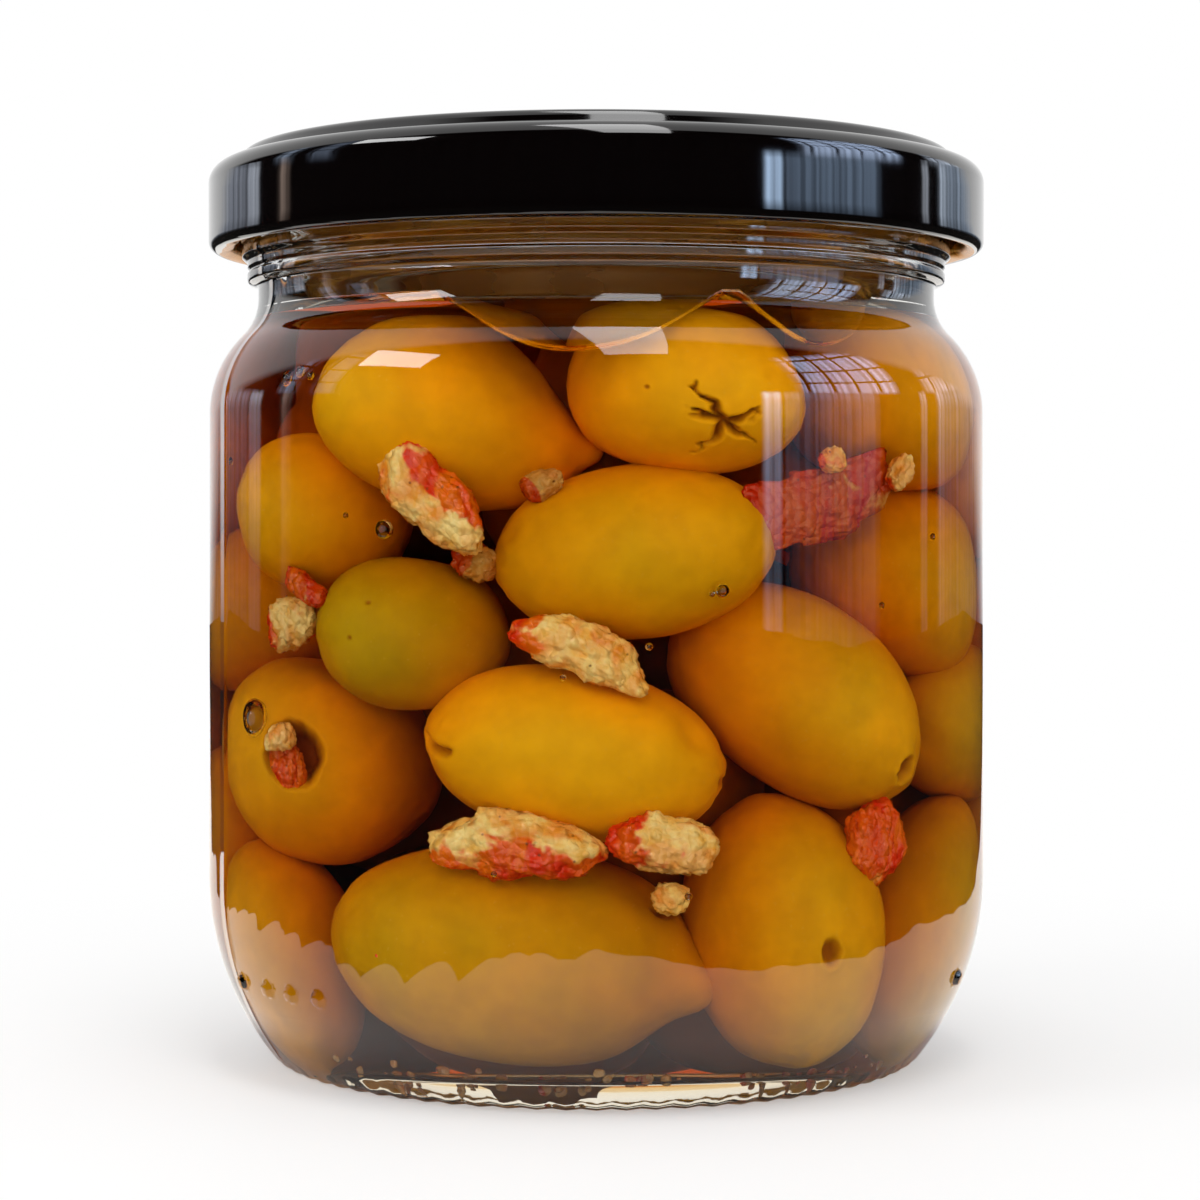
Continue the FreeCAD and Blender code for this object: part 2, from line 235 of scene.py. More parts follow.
# What glass and lacquer mirror, by direction in degrees from the front (-Y)
# towards +X: (from, to, colour). Between the entries it changes evenly.
STRONGEST = 12.0
DARK = (0.012, 0.011, 0.012)
REFLECTED = (
    (-180.0, -122.0, (0.75, 0.82, 0.98)),
    (-118.5, -116.0, (2.4, 2.6, 3.0)),
    (-114.5, -104.5, DARK),
    (-103.0, -101.0, (1.6, 1.2, 1.0)),
    (-99.0, 48.0, DARK),
    (49.0, 53.5, (5.6, 7.6, 10.5)),
    (54.2, 55.0, DARK),
    (55.4, 88.0, (1.25, 1.7, 2.4)),
    (89.0, 108.5, DARK),
    (109.5, 111.0, (2.4, 2.6, 3.0)),
    (112.0, 118.0, DARK),
    (119.0, 120.5, (2.4, 2.8, 3.4)),
    (124.0, 180.0, (0.8, 0.98, 1.25)),
)

REFLECTED_HIGH = (
    (-180.0, -108.0, DARK),
    (-104.0, -100.0, (1.3, 1.6, 2.1)),
    (-98.0, -92.0, DARK),
    (-90.0, -83.0, (0.9, 1.1, 1.5)),
    (-80.0, 60.0, DARK),
    (64.0, 96.0, (4.0, 5.0, 7.0)),
    (100.0, 112.0, DARK),
    (116.0, 138.0, (2.2, 2.5, 3.0)),
    (142.0, 180.0, DARK),
)


# ---- helpers: outlines ----

def arc_about(centre, radius, start, end, step=4.0):
    """Points of an arc from the start angle to the end angle, in degrees."""
    count = max(2, int(abs(end - start) / step) + 1)
    points = []
    for i in range(count + 1):
        a = math.radians(start + (end - start) * i / count)
        points.append((centre[0] + radius * math.cos(a), centre[1] + radius * math.sin(a)))
    return points


def rounded(corners, step=9.0):
    """Points of an open path whose corners (r, z, radius) are rounded by arcs."""
    points = [corners[0][:2]]
    for before, corner, after in zip(corners, corners[1:], corners[2:]):
        here = Vector(corner[:2])
        back = (Vector(before[:2]) - here).normalized()
        ahead = (Vector(after[:2]) - here).normalized()
        radius = corner[2]
        half = back.angle(ahead) / 2
        if radius <= 0 or half > math.radians(89):
            points.append(tuple(here))
            continue
        reach = radius / math.tan(half)
        first = here + back * reach
        centre = here + (back + ahead).normalized() * (radius / math.sin(half))
        start = first - centre
        turn = (here + ahead * reach - centre).angle_signed(start)
        count = max(2, int(math.degrees(abs(turn)) / step) + 1)
        for i in range(count + 1):
            a = turn * i / count
            c, s = math.cos(a), math.sin(a)
            points.append((centre.x + start.x * c - start.y * s,
                           centre.y + start.x * s + start.y * c))
    points.append(corners[-1][:2])
    return points


def joined(*paths):
    """One list of points from several, without the doubled ends."""
    points = []
    for path in paths:
        for p in path:
            if not points or math.dist(p, points[-1]) > 1e-4:
                points.append(tuple(p))
    return points


def spaced(points, longest):
    """The same path with points added where two lie further apart than longest."""
    out = [points[0]]
    for a, b in zip(points, points[1:]):
        count = max(1, math.ceil(math.dist(a, b) / longest))
        for i in range(1, count + 1):
            t = i / count
            out.append((a[0] + (b[0] - a[0]) * t, a[1] + (b[1] - a[1]) * t))
    return out


def outside_profile():
    """The jar's outside, from the axis under the base to the top of the rim."""
    rise = HEEL_H - HEEL_ROUND
    heel_r = ((BEARING_INSET ** 2 + rise ** 2 - HEEL_ROUND ** 2)
              / (2 * (BEARING_INSET - HEEL_ROUND)))
    heel_c = (BODY_R - heel_r, HEEL_H)
    bearing_out = BODY_R - BEARING_INSET
    bearing_in = bearing_out - BEARING_W
    round_c = (bearing_out, HEEL_ROUND)
    meet = math.degrees(math.atan2(round_c[1] - heel_c[1], round_c[0] - heel_c[0]))
    step_r = bearing_in - BASE_STEP_IN
    dome = []
    for i in range(11):
        t = i / 10
        dome.append((step_r * t, PUSH_UP - (PUSH_UP - BASE_STEP) * t * t))
    foot = spaced([(step_r, BASE_STEP), (bearing_in, 0.0), (bearing_out, 0.0)], 0.5)
    heel = arc_about(round_c, HEEL_ROUND, -90, meet, 6) + arc_about(heel_c, heel_r, meet, 0, 2)
    shoulder_c = (SHOULDER_CENTRE_R, SHOULDER_Z)
    hollow_c = (HOLLOW_CENTRE_R, WAIST_Z)
    lean = math.degrees(math.atan2(hollow_c[1] - shoulder_c[1], hollow_c[0] - shoulder_c[0]))
    wall = spaced([(BODY_R, HEEL_H), (BODY_R - BODY_TAPER, SHOULDER_Z)], 2.6)
    shoulder = (arc_about(shoulder_c, SHOULDER_R, 0, lean, 3)
                + arc_about(hollow_c, WAIST_HOLLOW_R, 180 + lean, 180, 4))
    groove = BEAD_Z + BEAD_GROOVE_AT
    top = BEAD_Z + BEAD_H
    finish = rounded([
        (WAIST_R, WAIST_Z, 0),
        (WAIST_R, BEAD_Z, 0.35),
        (BEAD_R, BEAD_Z + 0.35, 0.3),
        (BEAD_R, groove - BEAD_GROOVE, 0.1),
        (BEAD_R - BEAD_GROOVE, groove, 0.15),
        (BEAD_R, groove + BEAD_GROOVE, 0.1),
        (BEAD_R, top, 0.2),
        (FINISH_R, top + 0.5, 0.2),
        (FINISH_R, RIM_Z, RIM_ROUND),
        ((FINISH_R + BORE_R) / 2, RIM_Z, 0),
    ], 15)
    return joined(dome, foot, heel, wall, shoulder, spaced(finish, 0.4))


def inside_profile():
    """The jar's inside, from the axis at the floor up to the top of the rim."""
    inner_r = BODY_R - BODY_TAPER / 2 - WALL_T
    floor_r = inner_r - CORNER_R
    floor = []
    for i in range(11):
        t = i / 10
        floor.append((floor_r * t, FLOOR_Z + FLOOR_RISE * (1 - t * t)))
    corner = arc_about((floor_r, FLOOR_Z + CORNER_R), CORNER_R, -90, 0, 4)
    wall = rounded([
        (inner_r, FLOOR_Z + CORNER_R, 0),
        (inner_r, SHOULDER_Z + INNER_SHOULDER_RISE, INNER_SHOULDER_R),
        (BORE_R, WAIST_Z - NECK_BLEND_DROP, NECK_BLEND_R),
        (BORE_R, RIM_Z - RIM_ROUND, 0),
    ], 4)
    rim = arc_about((BORE_R + RIM_ROUND, RIM_Z - RIM_ROUND), RIM_ROUND, 180, 90, 15)
    rim.append(((FINISH_R + BORE_R) / 2, RIM_Z))
    return joined(floor, corner, spaced(wall, 1.6), rim)


INSIDE = inside_profile()


def inside_radius(z):
    """Radius of the space inside the jar at a height above the floor's corner."""
    for a, b in zip(INSIDE[10:], INSIDE[11:]):
        if a[1] <= z <= b[1]:
            t = (z - a[1]) / max(b[1] - a[1], 1e-9)
            return a[0] + (b[0] - a[0]) * t
    return BORE_R


def smooth(low, high, x):
    """0 below low, 1 above high, with an easy curve between."""
    t = min(1.0, max(0.0, (x - low) / (high - low)))
    return t * t * (3 - 2 * t)


def turn_of(co):
    """Direction of a point about the axis in degrees, from -Y towards +X."""
    return math.degrees(math.atan2(co.x, -co.y))


def axis_of(heading, rise):
    """The long axis of an olive from its heading about Z and its rise, in degrees."""
    h, r = math.radians(heading), math.radians(rise)
    return Vector((math.cos(h) * math.cos(r), math.sin(h) * math.cos(r), math.sin(r)))


def apart(a, b):
    """Smallest difference between two directions in degrees."""
    return (a - b + 180.0) % 360.0 - 180.0


# ---- helpers: meshes and pieces ----

def spin_path(bm, path, steps, slot):
    """Turns a path of (r, z) in mm about the axis; returns the new vertices."""
    sectors = 12
    old = set(bm.faces)
    verts = [bm.verts.new((0.0, -r * MM, z * MM)) for r, z in path]
    edges = [bm.edges.new(pair) for pair in zip(verts, verts[1:])]
    bmesh.ops.spin(bm, geom=verts + edges, cent=(0, 0, 0), axis=(0, 0, 1), dvec=(0, 0, 0),
                   angle=math.tau / sectors, steps=steps // sectors, use_merge=False)
    faces = [f for f in bm.faces if f not in old]
    for f in faces:
        f.material_index = slot
    ring = {v for f in faces for v in f.verts}
    first = faces + list({e for f in faces for e in f.edges}) + list(ring)
    for i in range(1, sectors):
        copy = bmesh.ops.duplicate(bm, geom=first)["geom"]
        fresh = [g for g in copy if isinstance(g, bmesh.types.BMVert)]
        bmesh.ops.rotate(bm, verts=fresh, cent=(0, 0, 0),
                         matrix=Matrix.Rotation(math.tau * i / sectors, 3, "Z"))
        ring.update(fresh)
    return list(ring)


def ball(segments, rings):
    """A mesh of a ball of radius 1 m, kept so that many pieces can start from it."""
    name = f"ball_{segments}_{rings}"
    mesh = bpy.data.meshes.get(name)
    if mesh is None:
        bm = bmesh.new()
        bmesh.ops.create_uvsphere(bm, u_segments=segments, v_segments=rings, radius=1.0)
        mesh = bpy.data.meshes.new(name)
        bm.to_mesh(mesh)
        bm.free()
    return mesh


def join(bm, part):
    """Adds the bmesh of one part to the bmesh of the whole piece."""
    mesh = bpy.data.meshes.new("part")
    part.to_mesh(mesh)
    part.free()
    bm.from_mesh(mesh)
    bpy.data.meshes.remove(mesh)


def close_up(bm, distance=2e-6):
    """Merges doubled vertices, drops flat faces and turns the normals outwards."""
    bmesh.ops.remove_doubles(bm, verts=bm.verts, dist=distance)
    bmesh.ops.dissolve_degenerate(bm, edges=bm.edges, dist=1e-7)
    bmesh.ops.recalc_face_normals(bm, faces=bm.faces)


def as_piece(name, bm, materials, node=None):
    """Makes an object of the bmesh, riding on the jar's body."""
    for f in bm.faces:
        f.smooth = True
    mesh = bpy.data.meshes.new(name)
    bm.to_mesh(mesh)
    bm.free()
    piece = bpy.data.objects.new(name, mesh)
    bpy.context.scene.collection.objects.link(piece)
    for m in materials:
        mesh.materials.append(m)
    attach(piece, BODY)
    if node:
        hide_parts(node)
    return piece


# ---- helpers: materials ----

class Nodes:
    """Makes and links the nodes of one tree."""

    def __init__(self, tree):
        self.tree = tree

    def node(self, kind, **settings):
        made = self.tree.nodes.new(kind)
        for key, value in settings.items():
            setattr(made, key, value)
        return made

    def link(self, a, b):
        self.tree.links.new(a, b)

    def noise(self, scale, detail=3.0, rough=0.55, stretch=None, distort=0.0):
        made = self.node("ShaderNodeTexNoise")
        made.inputs["Scale"].default_value = scale
        made.inputs["Detail"].default_value = detail
        made.inputs["Roughness"].default_value = rough
        made.inputs["Distortion"].default_value = distort
        source = self.place
        if stretch:
            mapping = self.node("ShaderNodeMapping")
            mapping.inputs["Scale"].default_value = stretch
            self.link(self.place, mapping.inputs["Vector"])
            source = mapping.outputs["Vector"]
        self.link(source, made.inputs["Vector"])
        return made.outputs["Fac"]

    def cells(self, scale, feature="F1"):
        made = self.node("ShaderNodeTexVoronoi", feature=feature)
        made.inputs["Scale"].default_value = scale
        self.link(self.place, made.inputs["Vector"])
        return made.outputs["Distance"]

    def ramp(self, source, low, high, a=0.0, b=1.0):
        made = self.node("ShaderNodeMapRange")
        made.clamp = True
        made.inputs["From Min"].default_value = low
        made.inputs["From Max"].default_value = high
        made.inputs["To Min"].default_value = a
        made.inputs["To Max"].default_value = b
        self.link(source, made.inputs["Value"])
        return made.outputs["Result"]

    def math(self, operation, a, b, clamp=False):
        made = self.node("ShaderNodeMath", operation=operation, use_clamp=clamp)
        for i, value in enumerate((a, b)):
            if isinstance(value, (int, float)):
                made.inputs[i].default_value = value
            else:
                self.link(value, made.inputs[i])
        return made.outputs[0]

    def mix(self, factor, a, b, blend="MIX"):
        made = self.node("ShaderNodeMix", data_type="RGBA", blend_type=blend)
        if isinstance(factor, (int, float)):
            made.inputs[0].default_value = factor
        else:
            self.link(factor, made.inputs[0])
        for socket, value in ((made.inputs[6], a), (made.inputs[7], b)):
            if hasattr(value, "links"):
                self.link(value, socket)
            else:
                socket.default_value = (*value[:3], 1.0)
        return made.outputs[2]

    def emission(self, colour, strength, kind="ShaderNodeEmission"):
        made = self.node(kind)
        made.inputs["Color"].default_value = (*colour, 1.0)
        if isinstance(strength, (int, float)):
            made.inputs["Strength"].default_value = strength
        else:
            self.link(strength, made.inputs["Strength"])
        return made.outputs[0]

    def surface(self, first, factor, second):
        """One shader where the factor is 0, and the other where it is 1."""
        made = self.node("ShaderNodeMixShader")
        self.link(factor, made.inputs[0])
        self.link(first, made.inputs[1])
        self.link(second, made.inputs[2])
        return made.outputs[0]


class Finish(Nodes):
    """A node material with one Principled shader, built a node at a time."""

    def __init__(self, name):
        self.material = bpy.data.materials.new(name)
        self.material.use_nodes = True
        super().__init__(self.material.node_tree)
        self.shader = self.tree.nodes["Principled BSDF"]
        self.output = self.tree.nodes["Material Output"]
        self.place = self.node("ShaderNodeTexCoord").outputs["Object"]

    def set(self, **values):
        for key, value in values.items():
            self.shader.inputs[key.replace("_", " ")].default_value = value

    def marks(self, name):
        made = self.node("ShaderNodeAttribute", attribute_name=name)
        split = self.node("ShaderNodeSeparateColor")
        self.link(made.outputs["Color"], split.inputs["Color"])
        return split.outputs["Red"], split.outputs["Green"], split.outputs["Blue"]

    def bump(self, height, strength, distance):
        made = self.node("ShaderNodeBump")
        made.inputs["Strength"].default_value = strength
        made.inputs["Distance"].default_value = distance
        self.link(height, made.inputs["Height"])
        self.link(made.outputs["Normal"], self.shader.inputs["Normal"])

    def colour(self, source):
        self.link(source, self.shader.inputs["Base Color"])

    def rough(self, source):
        self.link(source, self.shader.inputs["Roughness"])

    def absorb(self, tint, density):
        made = self.node("ShaderNodeVolumeAbsorption")
        made.inputs["Color"].default_value = (*tint, 1.0)
        made.inputs["Density"].default_value = density
        self.link(made.outputs["Volume"], self.output.inputs["Volume"])


def clear_glass(settings):
    finish = Finish("clear_glass")
    finish.set(Transmission_Weight=1.0, IOR=1.52, Roughness=0.0)
    streaks = finish.noise(90.0, 2.0, stretch=(1.0, 1.0, 0.25))
    finish.colour(finish.mix(streaks, settings.tint, (0.99, 0.995, 0.99)))
    finish.bump(finish.noise(160.0, 1.0), 0.25, settings.ripple * MM)
    return finish.material


def wetted_glass():
    """The glass below the oil's level, where glass and oil bend light alike."""
    finish = Finish("glass_against_oil")
    finish.set(Transmission_Weight=1.0, IOR=1.034, Roughness=0.0)
    tone = finish.noise(60.0, 1.0)
    finish.colour(finish.mix(tone, (0.995, 0.998, 0.995), (1.0, 1.0, 1.0)))
    return finish.material


def oil_finish(name, settings, bend):
    finish = Finish(name)
    finish.set(Transmission_Weight=1.0, IOR=bend, Roughness=0.0)
    tone = finish.noise(70.0, 1.0)
    finish.colour(finish.mix(tone, (1.0, 0.99, 0.97), (1.0, 1.0, 1.0)))
    finish.absorb(settings.tint, settings.density)
    return finish.material


def olive_skin(name, settings, shade):
    finish = Finish(name)
    green, mark, light = finish.marks("olive_marks")
    broad = finish.noise(95.0, 1.0, 0.5)
    mottle = finish.noise(330.0, 2.0, 0.6)
    shift = finish.math("MULTIPLY", finish.ramp(broad, 0.35, 0.65), 0.35)
    greenness = finish.math("ADD", green, finish.math("SUBTRACT", shift, 0.17), clamp=True)
    skin = finish.mix(greenness, settings.gold, settings.green)
    pale = finish.mix(1.0, skin, (1.25, 1.25, 1.35), "MULTIPLY")
    dull = finish.mix(1.0, skin, (0.62, 0.55, 0.50), "MULTIPLY")
    lightness = finish.math("ADD", light, finish.ramp(mottle, 0.3, 0.7, -0.10, 0.10), clamp=True)
    skin = finish.mix(lightness, dull, pale)
    pores = finish.ramp(finish.cells(1100.0), 0.05, 0.16, 0.22, 0.0)
    skin = finish.mix(pores, skin, settings.pore)
    # Specks are their own dark colour; inside holes, pits, clefts and star splits the same colour
    # is painted shade.
    skin = finish.mix(mark, skin, settings.cut)
    # The shade colour multiplies the skin; below white it is painted shade.
    finish.colour(finish.mix(1.0, skin, shade, "MULTIPLY"))
    finish.rough(finish.ramp(mottle, 0.2, 0.8, 0.32, 0.5))
    finish.set(Specular_IOR_Level=0.03)
    finish.bump(finish.math("ADD", mottle, finish.math("MULTIPLY", broad, 2.0)), 0.35, 0.00025)
    return finish.material


def stuffing_finish(settings):
    finish = Finish("garlic_and_pepper")
    red, light, painted_shade = finish.marks("stuffing_marks")
    grain = finish.noise(520.0, 3.0, 0.65)
    patches = finish.noise(230.0, 2.0, 0.6, distort=0.8)
    fibre = finish.noise(260.0, 2.0, 0.6, stretch=(1.0, 1.0, 0.3), distort=1.0)
    flesh = finish.mix(finish.ramp(grain, 0.35, 0.65), settings.garlic, settings.garlic_pale)
    stain = finish.ramp(patches, 0.44, 0.60, 0.0, 0.9)
    flesh = finish.mix(stain, flesh, settings.garlic_deep)
    flesh = finish.mix(finish.math("MULTIPLY", light, 0.35), flesh, settings.garlic_pale)
    skin = finish.mix(finish.ramp(fibre, 0.38, 0.62), settings.pepper, settings.pepper_light)
    edge = finish.math("ADD", red, finish.ramp(patches, 0.3, 0.7, -0.5, 0.5))
    edge = finish.math("ADD", edge, finish.ramp(grain, 0.3, 0.7, -0.15, 0.15))
    colour = finish.mix(finish.ramp(edge, 0.36, 0.60), flesh, skin)
    specks = finish.ramp(finish.cells(620.0), 0.05, 0.12, 0.8, 0.0)
    colour = finish.mix(specks, colour, (0.20, 0.05, 0.008))
    # Painted shade: the third mark channel darkens the colour towards these shaded tones.
    shaded = finish.mix(1.0, colour, (0.30, 0.20, 0.16), "MULTIPLY")
    finish.colour(finish.mix(painted_shade, colour, shaded))
    finish.rough(finish.ramp(grain, 0.2, 0.8, 0.10, 0.34))
    finish.set(Specular_IOR_Level=0.55)
    beads = finish.cells(1000.0)
    finish.bump(finish.math("ADD", finish.math("ADD", grain, fibre),
                            finish.math("MULTIPLY", beads, -1.2)), 0.9, 0.00035)
    return finish.material


def lacquer(name, colour, rough, ripple):
    finish = Finish(name)
    tone = finish.noise(60.0, 2.0)
    dark = tuple(c * 0.9 for c in colour)
    finish.colour(finish.mix(tone, dark, colour))
    finish.rough(finish.ramp(finish.noise(90.0, 1.0), 0.3, 0.7, rough * 0.8, rough * 1.25))
    finish.bump(finish.noise(140.0, 1.0), 0.4, ripple * MM)
    return finish


# ---- settings ----

def colour_of(name, description, default):
    return FloatVectorProperty(name=name, description=description, default=default, size=3,
                               min=0.0, max=4.0, subtype="COLOR")


def length_of(name, description, default):
    return FloatProperty(name=name, description=description, default=default, min=0.0,
                         subtype="DISTANCE")


class OLIVEJAR_PG_glass(bpy.types.PropertyGroup):
    segments: IntProperty(name="Segments", description="Divisions round the axis",
                          default=288, min=24)
    knurls: IntProperty(name="Knurls", description="Scallops round the bearing ring",
                        default=72, min=0)
    tint: colour_of("Tint", "Colour of the glass", (0.955, 0.98, 0.96))
    ripple: FloatProperty(name="Ripple", description="Fine ripple of the surface, in mm",
                          default=0.05, min=0.0)
    wave: FloatProperty(name="Wave", description="Slow wave of the inner wall, in mm",
                        default=0.16, min=0.0)
    seam: FloatProperty(name="Seam", description="Height of the mould seams, in mm",
                        default=0.07, min=0.0)
    dot: FloatProperty(name="Mould dot", description="Height of the mould dots, in mm",
                       default=0.6, min=0.0)


class OLIVEJAR_PG_lid(bpy.types.PropertyGroup):
    segments: IntProperty(name="Segments", description="Divisions round the axis",
                          default=252, min=24)
    outside: colour_of("Outside", "Colour of the lacquer outside", (0.0016, 0.0008, 0.0008))
    inside: colour_of("Inside", "Colour of the lacquer inside", (0.62, 0.26, 0.015))
    seal: colour_of("Seal", "Colour of the sealing compound", (0.60, 0.44, 0.25))
    gloss: FloatProperty(name="Roughness", description="Roughness of the outer lacquer",
                         default=0.06, min=0.0, max=1.0)


class OLIVEJAR_PG_oil(bpy.types.PropertyGroup):
    segments: IntProperty(name="Segments", description="Divisions round the axis",
                          default=256, min=24)
    tint: colour_of("Tint", "Colour of the oil", (0.88, 0.60, 0.05))
    density: FloatProperty(name="Density", description="How strongly the oil colours light",
                           default=105.0, min=0.0)
    overlap: FloatProperty(name="Overlap", description="Reach of the oil into the glass, in mm",
                           default=0.2, min=0.0)
    climb: FloatProperty(name="Climb", description="Rise of the oil's edge on the glass, in mm",
                         default=1.2, min=0.0)


class OLIVEJAR_PG_olives(bpy.types.PropertyGroup):
    gold: colour_of("Gold", "Skin of a ripe olive", (0.84, 0.37, 0.002))
    green: colour_of("Green", "Skin of a green olive", (0.50, 0.33, 0.003))
    pore: colour_of("Pore", "Fine pale pores", (0.80, 0.50, 0.10))
    # Colour of the dark specks, and painted shade inside holes, pits, clefts and star splits; the
    # tips take a little of it too.
    cut: colour_of("Cut", "Inside of cuts and pits", (0.26, 0.055, 0.003))
    # Painted shade: the olives in the middle of the jar take a darker copy of the skin, for the
    # shade they lie in.
    shade: colour_of("Shade", "How much darker the olives in the middle are", (0.5, 0.42, 0.35))
    front_segments: IntProperty(name="Front segments", description="Divisions of a front olive",
                                default=88, min=12)
    rear_segments: IntProperty(name="Rear segments", description="Divisions of a rear olive",
                               default=48, min=12)
    rear_count: IntProperty(name="Rear olives", description="Olives behind the front ones",
                            default=32, min=0)
    settling: IntProperty(name="Settling", description="Rounds of pushing the olives apart",
                          default=140, min=0)


class OLIVEJAR_PG_stuffing(bpy.types.PropertyGroup):
    garlic: colour_of("Garlic", "Soaked garlic", (0.97, 0.50, 0.07))
    garlic_deep: colour_of("Garlic, deep", "Soaked garlic in its hollows", (0.86, 0.26, 0.01))
    garlic_pale: colour_of("Garlic, pale", "Freshly broken garlic", (1.0, 0.78, 0.30))
    pepper: colour_of("Pepper", "Red pepper", (0.78, 0.028, 0.001))
    pepper_light: colour_of("Pepper, light", "Thin red pepper", (0.88, 0.17, 0.003))
    crumbs: IntProperty(name="Crumbs", description="Crumbs lying on the jar's floor",
                        default=70, min=0)


class OLIVEJAR_PG_stage(bpy.types.PropertyGroup):
    floor_size: length_of("Floor", "Side of the square floor", 3.0)
    floor: colour_of("Floor colour", "Colour of the floor", (0.93, 0.93, 0.93))
    lens: FloatProperty(name="Lens", description="Focal length in mm", default=89.64, min=1.0)
    world_level: FloatProperty(name="World", default=0.69, min=0.0,
                               description="Light from all round")
    inner_low: FloatProperty(name="Low light in the jar", default=0.35, min=0.0,
                             description="Light that enters the jar from behind and below")
    inner_high: FloatProperty(name="High light in the jar", default=2.5, min=0.0,
                              description="Light that enters the jar from the front and above")
    lamp_above: FloatProperty(name="Lamp above", description="Power in W", default=1.55, min=0.0)
    lamp_left: FloatProperty(name="Lamp, left", description="Power in W", default=0.8, min=0.0)
    # Painted reflection: a bright sheet that the floor shows only to rays mirrored by the glass,
    # while the camera sees the floor evenly white.
    painted_reflection_sheet: length_of("Sheet", "Reach of the bright sheet under the jar", 0.094)
    painted_reflection_ragged: length_of("Sheet edge", "Unevenness of the sheet's edge", 0.013)
    painted_reflection_glow: FloatProperty(name="Sheet glow", default=1.2, min=0.0,
                              description="Brightness of the sheet as the glass mirrors it")


# ---- operators ----

class OLIVEJAR_OT_glass(bpy.types.Operator):
    """Make the glass jar with its threads, seams and knurled foot"""
    bl_idname = "olive_jar.glass"
    bl_label = "Glass Jar"

    def execute(self, context):
        s = context.scene.olive_jar_glass
        bm = bmesh.new()
        outside = spin_path(bm, outside_profile(), s.segments, 0)
        wet = [p for p in INSIDE if p[1] < OIL_Z - 0.3]
        dry = [p for p in INSIDE if p[1] > OIL_Z + 0.3]
        edge = (inside_radius(OIL_Z), OIL_Z)
        inside = spin_path(bm, wet + [edge], s.segments, 1)
        inside += spin_path(bm, [edge] + dry, s.segments, 0)
        for v in outside:
            self.shape_outside(v, s)
        for v in inside:
            self.shape_inside(v, s)
        close_up(bm)
        self.add_dots(bm, s)
        as_piece("jar_glass", bm, [clear_glass(s), wetted_glass()], "jar")
        return {"FINISHED"}

    def shape_outside(self, v, s):
        """Threads, mould seams, knurls and the slight unevenness of blown glass."""
        turn = turn_of(v.co)
        r = math.hypot(v.co.x, v.co.y) / MM
        z = v.co.z / MM
        if r < 1.0:
            return
        step = 360.0 / s.segments
        out = 0.0
        for seam in SEAMS:
            gap = apart(turn, seam)
            if abs(gap) < step * 1.5 and 1.0 < z < LID_FOOT_Z:
                side = round(gap / step)
                turn = seam + side * 0.14
                out += s.seam if side == 0 else 0.0
        if r > FINISH_R - 0.05 and LID_FOOT_Z < z < RIM_Z - RIM_ROUND:
            for i in range(LUGS):
                along = apart(turn, i * 360.0 / LUGS)
                middle = THREAD_Z + math.radians(along) * FINISH_R * math.tan(
                    math.radians(THREAD_LEAN))
                end = smooth(THREAD_ARC / 2 + 1.5, THREAD_ARC / 2 - 2.5, abs(along))
                across = abs(z - middle) / (THREAD_H / 2)
                out += THREAD_PROUD * end * smooth(1.15, 0.55, across)
        if z < 1.6 and BODY_R - BEARING_INSET - BEARING_W - 0.2 < r:
            wave = math.cos(math.radians(turn) * s.knurls)
            lift = 0.16 * smooth(1.6, 0.6, z) * (1 - wave) / 2
            z += lift
            out -= 0.10 * smooth(1.6, 0.4, z) * (1 - wave) / 2 * (r > 33.4)
        spot = Vector((v.co.x, v.co.y, v.co.z * 0.6)) * 45.0
        if z > 2.0:
            out += noise.noise(spot) * 0.035
        a = math.radians(turn)
        v.co = Vector((math.sin(a) * (r + out), -math.cos(a) * (r + out), z)) * MM

    def shape_inside(self, v, s):
        r = math.hypot(v.co.x, v.co.y) / MM
        z = v.co.z / MM
        if r < 20.0 or z > RIM_Z - RIM_ROUND:
            return
        spot = Vector((v.co.x * 70.0, v.co.y * 70.0, v.co.z * 38.0))
        amount = s.wave * (0.4 + 0.6 * smooth(OIL_Z - 6, OIL_Z, z))
        grow = (r + noise.noise(spot) * amount) / r
        v.co.x *= grow
        v.co.y *= grow

    def add_dots(self, bm, s):
        """Small mould dots in a ring on the heel."""
        for turn in MOULD_DOTS:
            a = math.radians(turn)
            near = [f for f in bm.faces if abs(f.calc_center_median().z / MM - MOULD_DOT_Z) < 1.6]
            spot = None
            reach = 1e9
            for f in near:
                c = f.calc_center_median()
                r = math.hypot(c.x, c.y)
                if r < (BODY_R - 4.0) * MM:
                    continue
                gap = math.hypot(c.x - math.sin(a) * r, c.y + math.cos(a) * r)
                gap = math.hypot(gap, c.z - MOULD_DOT_Z * MM)
                if gap < reach:
                    reach = gap
                    spot = c
            patch = [f for f in near if (f.calc_center_median() - spot).length < 1.8 * MM]
            edges = list(dict.fromkeys(e for f in patch for e in f.edges))
            bmesh.ops.subdivide_edges(bm, edges=edges, cuts=3, use_grid_fill=True)
            outward = Vector((spot.x, spot.y, -0.35 * math.hypot(spot.x, spot.y))).normalized()
            for v in bm.verts:
                gap = (v.co - spot).length / MM
                if gap < 1.1:
                    v.co += outward * (s.dot * MM * smooth(1.05, 0.6, gap))
        bmesh.ops.triangulate(bm, faces=[f for f in bm.faces if len(f.verts) > 4])


